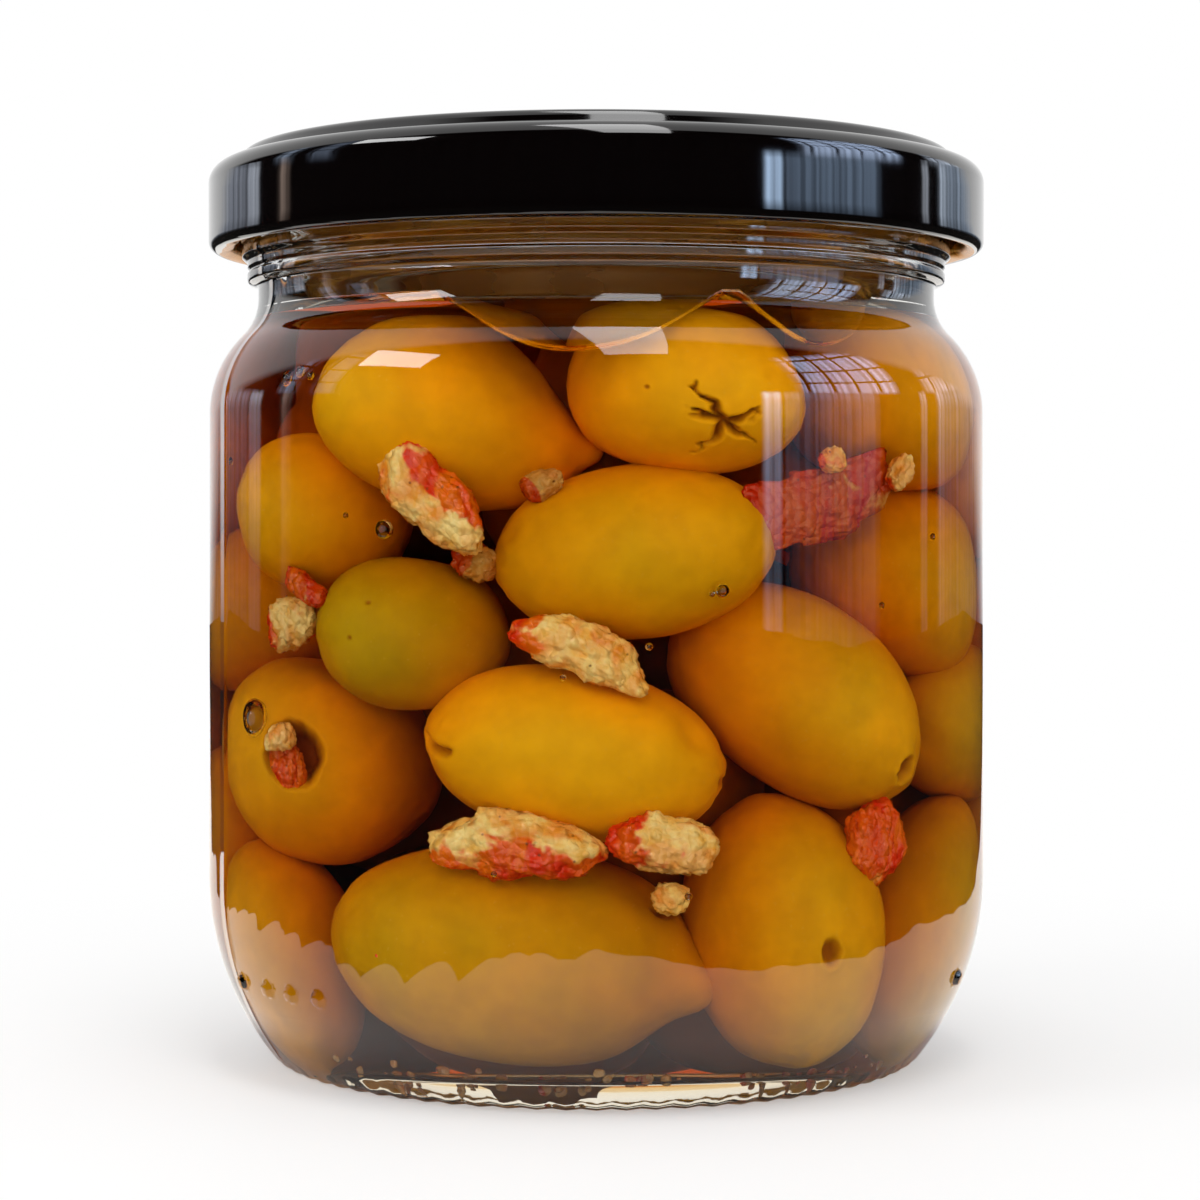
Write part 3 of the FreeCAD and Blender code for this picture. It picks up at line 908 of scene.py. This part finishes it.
class OLIVEJAR_OT_lid(bpy.types.Operator):
    """Make the lacquered lid, and finish its sealing compound"""
    bl_idname = "olive_jar.lid"
    bl_label = "Twist-off Lid"

    def execute(self, context):
        s = context.scene.olive_jar_lid
        valley = LID_TOP_Z - RING_H
        panel = LID_TOP_Z - PANEL_DROP
        corners = [
            (0, panel + BUTTON_H, 0),
            (BUTTON_R, panel + BUTTON_H, FOLD_R),
            (BUTTON_R + BUTTON_SLANT, panel, FOLD_R),
            (RING_IN_R - RING_SLANT_IN, panel, FOLD_R),
            (RING_IN_R, LID_TOP_Z, FOLD_R + SHEET),
            (RING_OUT_R - RING_SLANT_OUT / 2, LID_TOP_Z, FOLD_R + SHEET),
            (RING_OUT_R + RING_SLANT_OUT / 2, valley, FOLD_R / 2),
            (LID_R, valley, LID_SHOULDER_R),
            (LID_R, LID_FOOT_Z + CURL, 0),
        ]
        roll = CURL * 0.49
        curl = rounded([
            (LID_R, LID_FOOT_Z + CURL, 0),
            (LID_R, LID_FOOT_Z, roll),
            (LID_R - CURL, LID_FOOT_Z, roll),
            (LID_R - CURL, LID_FOOT_Z + CURL, roll),
            (LID_R - SHEET, LID_FOOT_Z + CURL, 0),
        ], 12)
        split = [i for i, p in enumerate(curl) if p[0] < LID_R - CURL * 0.5][0]
        under = []
        for r, z, radius in corners[:-1]:
            inset = SHEET if r == LID_R else 0.0
            under.append((r - inset, z - SHEET, max(0.0, radius - SHEET * 0.5)))
        under[0] = (0, under[0][1], 0)
        under.append((LID_R - SHEET, LID_FOOT_Z + CURL, 0))
        bm = bmesh.new()
        top = joined(spaced(rounded(corners, 12), 2.0), curl[:split])
        verts = spin_path(bm, top, s.segments, 0)
        inner = joined(spaced(rounded(under, 12), 2.5), list(reversed(curl[split - 1:])))
        verts += spin_path(bm, inner, s.segments, 1)
        for v in verts:
            self.press_lugs(v)
        close_up(bm)
        black = lacquer("black_lacquer", s.outside, s.gloss, 0.012)
        black.set(Coat_Weight=0.3, Coat_Roughness=0.03, Specular_IOR_Level=0.5)
        gold = lacquer("gold_lacquer", s.inside, 0.28, 0.02)
        gold.set(Metallic=0.7, Specular_IOR_Level=0.2)
        as_piece("lid_shell", bm, [black.material, gold.material], "lid")
        seal = lacquer("sealing_compound", s.seal, 0.55, 0.03)
        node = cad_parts["lid_seal"]
        node.data.materials.clear()
        node.data.materials.append(seal.material)
        return {"FINISHED"}

    def press_lugs(self, v):
        """Short lengths of the rolled edge are pressed in under the threads."""
        r = math.hypot(v.co.x, v.co.y) / MM
        z = v.co.z / MM
        if r < 30.0 or z > LID_FOOT_Z + CURL or r > LID_R - CURL * 0.4:
            return
        for i in range(LUGS):
            along = abs(apart(turn_of(v.co), 90 + LUG_TURN + i * 360.0 / LUGS))
            push = LUG_REACH * smooth(LUG_ARC / 2 + 2.0, LUG_ARC / 2 - 1.0, along)
            middle = LID_FOOT_Z + LUG_RAISE + LUG_H / 2
            push *= smooth(LUG_H * 1.1, LUG_H * 0.4, abs(z - middle))
            v.co.x *= (r - push) / r
            v.co.y *= (r - push) / r


class OLIVEJAR_OT_oil(bpy.types.Operator):
    """Make the oil with the dips in its edge and the air bubbles in it"""
    bl_idname = "olive_jar.oil"
    bl_label = "Oil"

    def execute(self, context):
        s = context.scene.olive_jar_oil
        fixed = OIL_Z - 8.5
        below = [p for p in INSIDE if p[1] < fixed]
        wall = [(r + s.overlap * smooth(10.0, 28.0, r), z - s.overlap * smooth(7.0, 4.5, z))
                for r, z in below]
        count = 14
        for i in range(count + 1):
            z = fixed + (OIL_Z - fixed) * i / count
            wall.append((inside_radius(z) + s.overlap, z))
        rim = wall[-1][0]
        top = [(rim, OIL_Z)]
        r = rim
        step = 0.22
        while r > 1.2:
            r -= step
            step = min(step * 1.14, 1.6)
            top.append((max(r, 0.0), OIL_Z))
        top[-1] = (0.0, OIL_Z)
        bm = bmesh.new()
        side = spin_path(bm, wall, s.segments, 0)
        surface = spin_path(bm, top, s.segments, 1)
        for v in side:
            self.shape(v, fixed, rim, s, False)
        for v in surface:
            self.shape(v, fixed, rim, s, True)
        close_up(bm)
        for centre, radius in BUBBLES:
            part = bmesh.new()
            part.from_mesh(ball(32, 20))
            for v in part.verts:
                v.co = (v.co * radius + Vector(centre)) * MM
            for f in part.faces:
                f.material_index = 1
            bmesh.ops.reverse_faces(part, faces=part.faces)
            join(bm, part)
        side_finish = oil_finish("oil_against_glass", s, 1.0)
        top_finish = oil_finish("oil_surface", s, 1.47)
        as_piece("oil", bm, [side_finish, top_finish], "olives_in_oil")
        return {"FINISHED"}

    def edge_height(self, turn):
        """Height of the oil's edge on the glass in a direction about the axis."""
        dip = 0.0
        for middle, left, right, depth, full_left, full_right in AIR_POCKETS:
            away = apart(turn, middle)
            reach, full = (left, full_left) if away < 0 else (right, full_right)
            if abs(away) < reach:
                dip += depth * (1 - (abs(away) / reach) ** full[0]) ** full[1]
        return OIL_Z - dip

    def shape(self, v, fixed, rim, s, surface):
        r = math.hypot(v.co.x, v.co.y) / MM
        z = v.co.z / MM
        if z <= fixed or r < 1e-3:
            return
        turn = turn_of(v.co)
        edge = self.edge_height(turn)
        a = math.radians(turn)
        if surface:
            reach = inside_radius(edge + s.climb) + s.overlap
            inward = rim - r
            z = OIL_Z + (edge - OIL_Z) * math.exp(-(inward / 5.0) ** 2)
            z += s.climb * math.exp(-inward / 0.8)
            z += noise.noise(Vector((math.sin(a), math.cos(a), r * 0.1)) * 2.0) * 0.08
            if inward < 1e-4:
                z = edge + s.climb
            r = r * (1 + (reach / rim - 1) * smooth(0.55, 1.0, r / rim))
        else:
            share = (z - fixed) / (OIL_Z - fixed)
            z = fixed + (edge + s.climb - fixed) * share
            r = inside_radius(z) + s.overlap
        v.co = Vector((math.sin(a) * r, -math.cos(a) * r, z)) * MM


class OLIVEJAR_OT_olives(bpy.types.Operator):
    """Make the olives, those at the front with their own cuts and dents"""
    bl_idname = "olive_jar.olives"
    bl_label = "Olives"

    def execute(self, context):
        s = context.scene.olive_jar_olives
        skin = olive_skin("olive_skin", s, (1.0, 1.0, 1.0))
        # A second, darker copy of the skin is painted shade for the olives in the middle.
        painted_shade_skin = olive_skin("olive_skin_painted_shade", s, s.shade)
        rng = random.Random(41)
        bm = bmesh.new()
        for name, size in FRONT_OLIVES.items():
            join(bm, self.olive(size, OLIVE_TONES[name], OLIVE_MARKS.get(name, ()),
                                s.front_segments, rng))
        as_piece("olives_at_the_glass", bm, [skin], None)
        bm = bmesh.new()
        for size in self.pack(s, rng):
            tone = (rng.uniform(0.05, 0.6), rng.uniform(0.35, 0.6))
            marks = (("dent", rng.uniform(-0.8, 0.8), rng.uniform(-0.6, 0.6), 0.3, 0.4),)
            part = self.olive(size, tone, marks, s.rear_segments, rng)
            # Painted shade: olives near the jar's axis or in its middle band, and not far back,
            # take the darker copy of the skin.
            inmost = math.hypot(size[0], size[1]) < 20.0 or abs(size[0]) < 14.0
            for f in part.faces:
                f.material_index = int(inmost and size[1] < 12.0)
            join(bm, part)
        as_piece("olives_behind", bm, [skin, painted_shade_skin], None)
        return {"FINISHED"}

    def pack(self, s, rng):
        """Settles more olives behind the front ones, so that they touch and fill the jar.

        An olive is held as two end balls and a middle ball. Overlaps push the
        balls apart, and each olive keeps its own length.
        """
        olives = []
        for x, y, z, length, width, heading, rise in FRONT_OLIVES.values():
            olives.append([Vector((x, y, z)), axis_of(heading, rise), length, width, False])
        for i in range(s.rear_count):
            turn = math.radians(rng.uniform(-100, 100) + 180)
            out = 31.0 * math.sqrt(rng.random())
            centre = Vector((math.sin(turn) * out, -math.cos(turn) * out, rng.uniform(13, 72)))
            axis = axis_of(rng.uniform(-90, 90), math.degrees(math.asin(rng.uniform(-0.9, 0.9))))
            olives.append([centre, axis, rng.uniform(12.2, 14.6), rng.uniform(8.4, 10.0), True])
        for step in range(s.settling):
            for i, one in enumerate(olives):
                for other in olives[i + 1:]:
                    if one[4] or other[4]:
                        self.part(one, other)
            for one in olives:
                if one[4]:
                    self.hold_inside(one)
        found = []
        for centre, axis, length, width, free in olives:
            if free:
                heading = math.degrees(math.atan2(axis.y, axis.x))
                found.append((*centre, length, width, heading, math.degrees(math.asin(axis.z))))
        return found

    def balls(self, olive):
        centre, axis, length, width, free = olive
        tip = width * width / length
        reach = axis * (length - tip)
        return ((centre - reach, tip, -1), (centre, width, 0), (centre + reach, tip, 1))

    def push(self, olive, end, move):
        """Moves an olive as if one of its balls were pushed."""
        if not olive[4]:
            return
        if end == 0:
            olive[0] += move
            return
        reach = olive[2] - olive[3] * olive[3] / olive[2]
        tip = olive[0] + olive[1] * (reach * end) + move
        far = olive[0] - olive[1] * (reach * end)
        olive[1] = (tip - far).normalized() * end
        olive[0] += move / 2

    def part(self, one, other):
        if (one[0] - other[0]).length > one[2] + other[2]:
            return
        share = 0.5 if one[4] and other[4] else 1.0
        for a, a_r, a_end in self.balls(one):
            for b, b_r, b_end in self.balls(other):
                gap = b - a
                depth = a_r + b_r - gap.length
                if depth > 0:
                    move = gap.normalized() * (depth * share * 0.8)
                    self.push(one, a_end, -move)
                    self.push(other, b_end, move)

    def hold_inside(self, olive):
        for centre, radius, end in self.balls(olive):
            out = math.hypot(centre.x, centre.y)
            room = inside_radius(min(max(centre.z, 18.0), 70.0)) - radius - 0.3
            if out > room:
                self.push(olive, end, Vector((centre.x, centre.y, 0)) * (room / out - 1))
            low = FLOOR_Z + 0.6 + radius - centre.z
            high = centre.z + radius - (OIL_Z - 6.5)
            if low > 0:
                self.push(olive, end, Vector((0, 0, low)))
            if high > 0:
                self.push(olive, end, Vector((0, 0, -high)))

    def olive(self, size, tone, marks, segments, rng):
        """One olive with its unevenness and marks; returns its bmesh."""
        x, y, z, length, width, heading, rise = size
        along = axis_of(heading, rise)
        front = Vector((0, -1, 0))
        face = (front - along * front.dot(along)).normalized()
        up = face.cross(along)
        basis = Matrix((along, face, up)).transposed()
        bm = bmesh.new()
        bm.from_mesh(ball(segments, segments * 5 // 8))
        bmesh.ops.rotate(bm, verts=bm.verts, matrix=Matrix.Rotation(math.pi / 2, 3, "Y"))
        spots = []
        for kind, right, lift, reach, depth in marks:
            ahead = math.sqrt(max(0.0, 1 - right * right - lift * lift))
            view = Vector((right, -ahead, lift)).normalized()
            spot = (basis.transposed() @ view).normalized()
            spots.append((kind, spot, reach, depth, rng.uniform(0, math.tau)))
            if kind in ("star", "hole", "speck", "pit", "cleft"):
                near = [e for v in bm.verts if (v.co - spot).length < reach * 1.25
                        for e in v.link_edges]
                bmesh.ops.subdivide_edges(bm, edges=list(dict.fromkeys(near)), cuts=2,
                                          use_grid_fill=True)
                for v in bm.verts:
                    v.co.normalize()
        layer = bm.verts.layers.float_color.new("olive_marks")
        seed = Vector((rng.uniform(0, 50), rng.uniform(0, 50), rng.uniform(0, 50)))
        taper = rng.uniform(-0.05, 0.05)
        tips = (rng.uniform(0.0, 0.05), rng.uniform(-0.03, 0.04))
        move = basis.to_4x4()
        move.translation = Vector((x, y, z))
        for v in bm.verts:
            p = v.co.copy()
            t = max(-1.0, min(1.0, p.x))
            ring = math.sqrt(max(0.0, 1 - t * t))
            swell = min((1 + taper * t) * max(ring, 1e-3) ** -0.10, 1.22)
            broad = noise.noise(p * 1.2 + seed) * 0.045 + noise.noise(p * 2.7 + seed) * 0.016
            fine = noise.noise(p * 9.0 + seed) * 0.003 * (1 + 2.5 * abs(t) ** 6)
            local = Vector((t * length, p.y * width * swell, p.z * width * swell))
            local *= 1 + broad + fine
            tip = tips[0] if t > 0 else tips[1]
            local.x += math.copysign(tip * length * math.exp(-(ring / 0.2) ** 2), t)
            # The skin is drawn a little darker towards both tips.
            dark = 0.12 * smooth(0.35, 0.0, ring)
            out = Vector((p.x / length, p.y / width, p.z / width)).normalized()
            for kind, spot, reach, depth, spin in spots:
                push, shade = self.mark(kind, p, spot, reach, spin)
                local += out * (push * depth)
                dark = max(dark, shade)
            v.co = (move @ local) * MM
            v[layer] = (tone[0], min(1.0, dark), tone[1], 1.0)
        return bm

    def mark(self, kind, p, spot, reach, spin):
        """How far a mark pushes the skin in or out, and how dark it is there: a speck's own
        colour, painted shade in pits, holes, clefts and star splits.
        """
        gap = p.angle(spot, 0.0)
        if gap > reach * 1.6:
            return 0.0, 0.0
        if kind == "nub":
            return math.exp(-(gap / (reach * 0.5)) ** 2), 0.0
        if kind == "dent":
            return -math.exp(-(gap / (reach * 0.6)) ** 2), 0.0
        if kind == "speck":
            near = smooth(reach, reach * 0.3, gap)
            return -near, near * 0.8
        if kind == "pit":
            ragged = reach * (1 + 0.18 * noise.noise(p * 14.0))
            near = smooth(ragged, ragged * 0.45, gap)
            lip = 0.25 * math.exp(-((gap - ragged * 1.15) / (reach * 0.25)) ** 2)
            return lip - near, near * 0.85
        if kind == "hole":
            ragged = reach * (1 + 0.12 * noise.noise(p * 10.0))
            near = smooth(ragged, ragged * 0.72, gap)
            return -near, near
        side = spot.cross(Vector((0.3, 0.2, 1.0))).normalized()
        rise = spot.cross(side)
        flat = p - spot * p.dot(spot)
        u, w = flat.dot(side), flat.dot(rise)
        if kind == "cleft":
            line = w + 0.25 * u * u / reach
            groove = math.exp(-(line / 0.05) ** 2) * smooth(reach, reach * 0.5, abs(u))
            groove *= smooth(reach * 1.4, reach * 0.7, gap)
            return -groove, groove * 0.6
        angle = math.atan2(w, u) + spin + 0.4 * noise.noise(p * 8.0)
        depth = 0.0
        for i in range(5):
            away = (angle - i * math.tau / 5 - 0.35 * math.sin(i * 2.3) + math.pi) % math.tau
            away = abs(away - math.pi)
            length = reach * (0.62 + 0.38 * math.sin(i * 1.9 + 1.0) ** 2)
            width = 0.042 * smooth(length, 0.0, gap) + 0.006
            line = math.exp(-(away * gap / width) ** 2) * smooth(length, length * 0.7, gap)
            depth = max(depth, line if away < 1.2 else 0.0)
        puff = 0.25 * math.exp(-(gap / (reach * 0.6)) ** 2)
        return puff - depth, depth * 0.95


class OLIVEJAR_OT_stuffing(bpy.types.Operator):
    """Make the garlic and pepper pieces, and the crumbs on the floor"""
    bl_idname = "olive_jar.stuffing"
    bl_label = "Garlic and Pepper"

    def execute(self, context):
        s = context.scene.olive_jar_stuffing
        finish = stuffing_finish(s)
        rng = random.Random(7)
        bm = bmesh.new()
        layer = bm.verts.layers.float_color.new("stuffing_marks")
        for name, centre, length, width, thick, lean, red, side in STUFFING:
            self.chunk(bm, layer, centre, (length, thick, width), lean, red, side, rng, 5,
                       PIECE_PAINTED_SHADE.get(name, 0.0))
        as_piece("garlic_and_pepper", bm, [finish], None)
        bm = bmesh.new()
        layer = bm.verts.layers.float_color.new("stuffing_marks")
        for i in range(s.crumbs):
            turn = math.radians(rng.gauss(8, 50))
            out = rng.uniform(22.0, 33.0)
            z = FLOOR_Z + max(0.0, CORNER_R - math.sqrt(
                max(0.0, CORNER_R ** 2 - max(0.0, out - 28.5) ** 2))) + 0.25
            centre = (math.sin(turn) * out, -math.cos(turn) * out, z)
            big = rng.uniform(0.4, 1.5)
            sizes = (big, rng.uniform(0.25, 0.5), big * rng.uniform(0.5, 0.9))
            self.chunk(bm, layer, centre, sizes, rng.uniform(-20, 20), rng.uniform(0, 0.4),
                       "start", rng, 2, CRUMB_PAINTED_SHADE)
        as_piece("crumbs", bm, [finish], None)
        return {"FINISHED"}

    def chunk(self, bm, layer, centre, sizes, lean, red, side, rng, fineness, painted_shade=0.0):
        """One torn piece: long, flat against the glass, lumpy, with skin on one side."""
        turn = math.atan2(centre[0], -centre[1])
        out = Vector((math.sin(turn), -math.cos(turn), 0.0))
        right = Vector((math.cos(turn), math.sin(turn), 0.0))
        tilt = math.radians(lean)
        along = right * math.cos(tilt) + Vector((0, 0, math.sin(tilt)))
        across = out.cross(along) * -1
        if across.z < 0:
            across = -across
        seed = Vector((rng.uniform(0, 50), rng.uniform(0, 50), rng.uniform(0, 50)))
        bend = rng.uniform(-0.10, 0.10)
        rough = min(1.0, sizes[2] / 5)
        made = bmesh.ops.create_icosphere(bm, subdivisions=fineness, radius=1.0)
        for v in made["verts"]:
            p = v.co.copy()
            box = Vector([math.copysign(abs(c) ** 0.80, c) for c in p])
            half = Vector((sizes[0] / 2, sizes[1] / 2, sizes[2] / 2))
            local = Vector((box.x * half.x, box.y * half.y, box.z * half.z))
            lumps = noise.noise(local * 0.33 + seed) * 0.26
            cells = noise.voronoi(local * 0.85 + seed)[0][0]
            small = noise.voronoi(local * 2.1 + seed)[0][0]
            grain = noise.fractal(local * 2.2 + seed, 0.7, 2.1, 4) * 0.16
            bumps = (0.34 - cells) * 0.65 + (0.34 - small) * 0.45 + grain * 1.1
            local += local.normalized() * bumps * rough
            local *= 1 + lumps
            local.z *= 1 - 0.22 * p.x * math.sin(seed.x)
            local.z += bend * sizes[0] * (p.x * p.x - 0.4)
            place = Vector(centre) + along * local.x + out * local.y + across * local.z
            v.co = place * MM
            if side == "all":
                amount = red
            elif side == "above":
                amount = smooth(1 - 2 * red - 0.3, 1 - 2 * red + 0.3, p.z)
            elif side == "below":
                amount = smooth(1 - 2 * red - 0.4, 1 - 2 * red + 0.4, -p.z)
            else:
                amount = smooth(1 - 2 * red - 0.35, 1 - 2 * red + 0.35, -p.x) * 0.9
            light = smooth(-0.4, 0.6, noise.noise(p * 1.6 + seed * 2) + lumps * 2)
            # The third channel carries the piece's painted shade.
            v[layer] = (amount, light, painted_shade, 1.0)


class OLIVEJAR_OT_stage(bpy.types.Operator):
    """Make the pale floor, the soft light and the camera"""
    bl_idname = "olive_jar.stage"
    bl_label = "Stage"

    def execute(self, context):
        s = context.scene.olive_jar_stage
        self.floor(s)
        self.world(s)
        self.lamp("lamp_above", (0.045, -0.19, 0.60), (0.17, 0.54), s.lamp_above)
        self.lamp("lamp_left", (-0.455, -0.205, 0.43), (0.22, 0.13), s.lamp_left)
        camera = bpy.data.objects.new("camera", bpy.data.cameras.new("camera"))
        camera.data.lens = s.lens
        camera.data.sensor_width = 36.0
        camera.data.clip_start = 0.01
        camera.location = (0.0, -0.3355, 0.0588)
        camera.rotation_euler = (math.radians(90 - 1.357), 0.0, math.radians(-0.071))
        context.scene.collection.objects.link(camera)
        context.scene.camera = camera
        context.scene.view_settings.view_transform = "Standard"
        return {"FINISHED"}

    def floor(self, s):
        bm = bmesh.new()
        bmesh.ops.create_grid(bm, x_segments=8, y_segments=8, size=s.floor_size / 2)
        mesh = bpy.data.meshes.new("floor")
        bm.to_mesh(mesh)
        bm.free()
        floor = bpy.data.objects.new("floor", mesh)
        bpy.context.scene.collection.objects.link(floor)
        finish = Finish("pale_floor")
        finish.colour(finish.mix(finish.noise(6.0), tuple(c * 0.985 for c in s.floor), s.floor))
        finish.set(Roughness=0.6, Specular_IOR_Level=0.25)
        path = finish.node("ShaderNodeLightPath")
        direct = finish.math("SUBTRACT", 1.0, path.outputs["Diffuse Depth"], clamp=True)
        length = finish.node("ShaderNodeVectorMath", operation="LENGTH")
        finish.link(finish.place, length.inputs[0])
        out = length.outputs["Value"]
        seen = finish.math("ADD", path.outputs["Is Camera Ray"],
                           path.outputs["Is Transmission Ray"], clamp=True)
        seen = finish.math("MULTIPLY", seen, finish.ramp(out, 0.035, 0.17, 0.4, 1.0))
        # Painted reflection: beyond 4.6 cm from the jar's axis, rays that the glass mirrors see
        # the floor glow as a bright sheet out to a ragged edge and nearly black past it.
        heading = finish.node("ShaderNodeVectorMath", operation="NORMALIZE")
        finish.link(finish.place, heading.inputs[0])
        broad, sharp = finish.noise(3.0, 1.0), finish.cells(7.0)
        for source in (broad, sharp):
            finish.link(heading.outputs["Vector"], source.node.inputs["Vector"])
        ragged = finish.math("ADD", broad, sharp)
        ragged = finish.ramp(ragged, 0.6, 1.3, -s.painted_reflection_ragged, s.painted_reflection_ragged)
        split = finish.node("ShaderNodeSeparateXYZ")
        finish.link(finish.place, split.inputs[0])
        calmer = finish.ramp(split.outputs["X"], -0.02, 0.02, 1.0, 0.25)
        ragged = finish.math("MULTIPLY", ragged, calmer)
        ahead = finish.math("MINIMUM", split.outputs["Y"],
                            finish.math("MULTIPLY", split.outputs["Y"], 0.1))
        side = finish.math("ABSOLUTE", split.outputs["X"], 0.0)
        edge = finish.math("SUBTRACT", finish.math("MULTIPLY", side, 0.85), ahead)
        edge = finish.math("ADD", edge, ragged)
        painted_reflection_sheet = finish.ramp(edge, s.painted_reflection_sheet, s.painted_reflection_sheet + 0.001, s.painted_reflection_glow, 0.02)
        mirrored = finish.math("SUBTRACT", path.outputs["Is Glossy Ray"],
                               path.outputs["Is Transmission Ray"], clamp=True)
        mirrored = finish.math("MULTIPLY", mirrored, finish.ramp(out, 0.040, 0.046))
        blend = finish.surface(finish.shader.outputs["BSDF"],
                               finish.math("MULTIPLY", seen, direct),
                               finish.emission((1.0, 1.0, 1.0), 1.0))
        # The glowing sheet is seen only in the glass's reflections.
        blend = finish.surface(blend, finish.math("MULTIPLY", mirrored, direct),
                               finish.emission((1.0, 0.97, 0.93), painted_reflection_sheet))
        finish.link(blend, finish.output.inputs["Surface"])
        mesh.materials.append(finish.material)

    def world(self, s):
        """White behind the jar, soft light all round, and window shapes for reflections."""
        world = bpy.data.worlds.new("studio")
        world.use_nodes = True
        tree = world.node_tree
        tree.nodes.clear()
        w = Nodes(tree)
        path = w.node("ShaderNodeLightPath")
        place = w.node("ShaderNodeTexCoord").outputs["Generated"]
        split = w.node("ShaderNodeSeparateXYZ")
        w.link(place, split.inputs[0])
        x, y, z = split.outputs
        direct = w.math("SUBTRACT", 1.0, path.outputs["Diffuse Depth"], clamp=True)
        seen = w.math("ADD", path.outputs["Is Camera Ray"],
                      path.outputs["Is Transmission Ray"], clamp=True)
        front = w.math("ADD", w.math("MULTIPLY", z, 0.75), w.math("MULTIPLY", y, -0.6))
        inner = w.ramp(front, -0.7, 0.9, s.inner_low, s.inner_high)
        through = path.outputs["Is Transmission Ray"]
        level = w.math("ADD", w.math("MULTIPLY", through, inner),
                       w.math("MULTIPLY", w.math("SUBTRACT", 1.0, through), s.world_level))
        soft = w.emission((1.0, 1.0, 1.0), level, "ShaderNodeBackground")
        white = w.emission((1.0, 1.0, 1.0), 1.0, "ShaderNodeBackground")
        turn = w.math("ARCTAN2", x, w.math("MULTIPLY", y, -1.0))
        turn = w.math("DEGREES", turn, 0.0)
        along = w.ramp(turn, -180.0, 180.0)
        low = self.strips(w, along, REFLECTED)
        high = self.strips(w, along, REFLECTED_HIGH)
        lift = w.math("MULTIPLY", w.ramp(z, -0.15, -0.12), w.ramp(z, 0.60, 0.64, 1.0, 0.0))
        lift = w.math("MULTIPLY", lift, w.ramp(z, 0.0, 0.12, 0.12, 1.0))
        bars = w.math("MULTIPLY", self.bars(w, turn, 0.11), self.bars(w, z, 7.0))
        upper = w.ramp(z, 0.15, 0.19)
        bars = w.math("ADD", w.math("MULTIPLY", upper, bars), w.math("SUBTRACT", 1.0, upper))
        blinds = w.node("ShaderNodeTexNoise", noise_dimensions="1D")
        blinds.inputs["Scale"].default_value = 0.55
        w.link(turn, blinds.inputs["W"])
        bars = w.math("MULTIPLY", bars, w.ramp(blinds.outputs["Fac"], 0.35, 0.65, 0.55, 1.3))
        level = w.math("MULTIPLY", w.math("MULTIPLY", lift, bars), STRONGEST)
        behind = w.ramp(w.math("ADD", y, w.math("MULTIPLY", z, 1.5)), 0.86, 0.97)
        windows = w.node("ShaderNodeBackground")
        w.link(w.mix(upper, low, high), windows.inputs["Color"])
        w.link(level, windows.inputs["Strength"])
        mirrored = w.surface(windows.outputs[0], behind, white)
        # A ray that glass lets through counts as glossy too, so it is taken out here.
        bounced = w.math("SUBTRACT", path.outputs["Is Glossy Ray"], through, clamp=True)
        shown = w.surface(soft, bounced, mirrored)
        shown = w.surface(shown, w.math("MULTIPLY", seen, direct), white)
        out = w.node("ShaderNodeOutputWorld")
        w.link(shown, out.inputs["Surface"])
        bpy.context.scene.world = world

    def strips(self, w, along, entries):
        """A ramp over the directions that holds the colours of the entries."""
        made = w.node("ShaderNodeValToRGB")
        w.link(along, made.inputs[0])
        elements = made.color_ramp.elements
        stops = [(angle, e[2]) for e in entries for angle in e[:2]]
        while len(elements) < len(stops):
            elements.new(1.0)
        for element, (angle, colour) in zip(elements, stops):
            element.position = (angle + 180.0) / 360.0
        for element, (angle, colour) in zip(elements, stops):
            element.color = (*[c / STRONGEST for c in colour], 1.0)
        return made.outputs["Color"]

    def bars(self, w, source, pitch):
        """1 in the panes and 0 on the bars between them."""
        part = w.math("FRACT", w.math("MULTIPLY", source, pitch), 0.0)
        return w.ramp(part, 0.10, 0.16)

    def lamp(self, name, place, size, power):
        lamp = bpy.data.lights.new(name, "AREA")
        lamp.shape = "RECTANGLE"
        lamp.size, lamp.size_y = size
        lamp.energy = power
        holder = bpy.data.objects.new(name, lamp)
        holder.location = place
        aim = Vector((0, 0, 0.05)) - Vector(place)
        holder.rotation_euler = aim.to_track_quat("-Z", "Y").to_euler()
        bpy.context.scene.collection.objects.link(holder)


class OLIVEJAR_PT_panel(bpy.types.Panel):
    """Lists the pieces of the jar and their settings"""
    bl_idname = "OLIVEJAR_PT_panel"
    bl_label = "Olive Jar"
    bl_space_type = "VIEW_3D"
    bl_region_type = "UI"
    bl_category = "Olive Jar"

    def draw(self, context):
        for operator, group in STEPS:
            box = self.layout.box()
            box.operator(operator.bl_idname)
            settings = getattr(context.scene, group[0])
            for key in group[1].__annotations__:
                box.prop(settings, key)


STEPS = (
    (OLIVEJAR_OT_glass, ("olive_jar_glass", OLIVEJAR_PG_glass)),
    (OLIVEJAR_OT_lid, ("olive_jar_lid", OLIVEJAR_PG_lid)),
    (OLIVEJAR_OT_oil, ("olive_jar_oil", OLIVEJAR_PG_oil)),
    (OLIVEJAR_OT_olives, ("olive_jar_olives", OLIVEJAR_PG_olives)),
    (OLIVEJAR_OT_stuffing, ("olive_jar_stuffing", OLIVEJAR_PG_stuffing)),
    (OLIVEJAR_OT_stage, ("olive_jar_stage", OLIVEJAR_PG_stage)),
)


def register():
    for operator, (name, group) in STEPS:
        bpy.utils.register_class(group)
        bpy.utils.register_class(operator)
        setattr(bpy.types.Scene, name, PointerProperty(type=group))
    bpy.utils.register_class(OLIVEJAR_PT_panel)


def unregister():
    bpy.utils.unregister_class(OLIVEJAR_PT_panel)
    for operator, (name, group) in reversed(STEPS):
        delattr(bpy.types.Scene, name)
        bpy.utils.unregister_class(operator)
        bpy.utils.unregister_class(group)


def main():
    register()
    bpy.ops.olive_jar.glass()
    bpy.ops.olive_jar.lid()
    bpy.ops.olive_jar.oil()
    bpy.ops.olive_jar.olives()
    bpy.ops.olive_jar.stuffing()
    bpy.ops.olive_jar.stage()


if __name__ == "__main__":
    main()
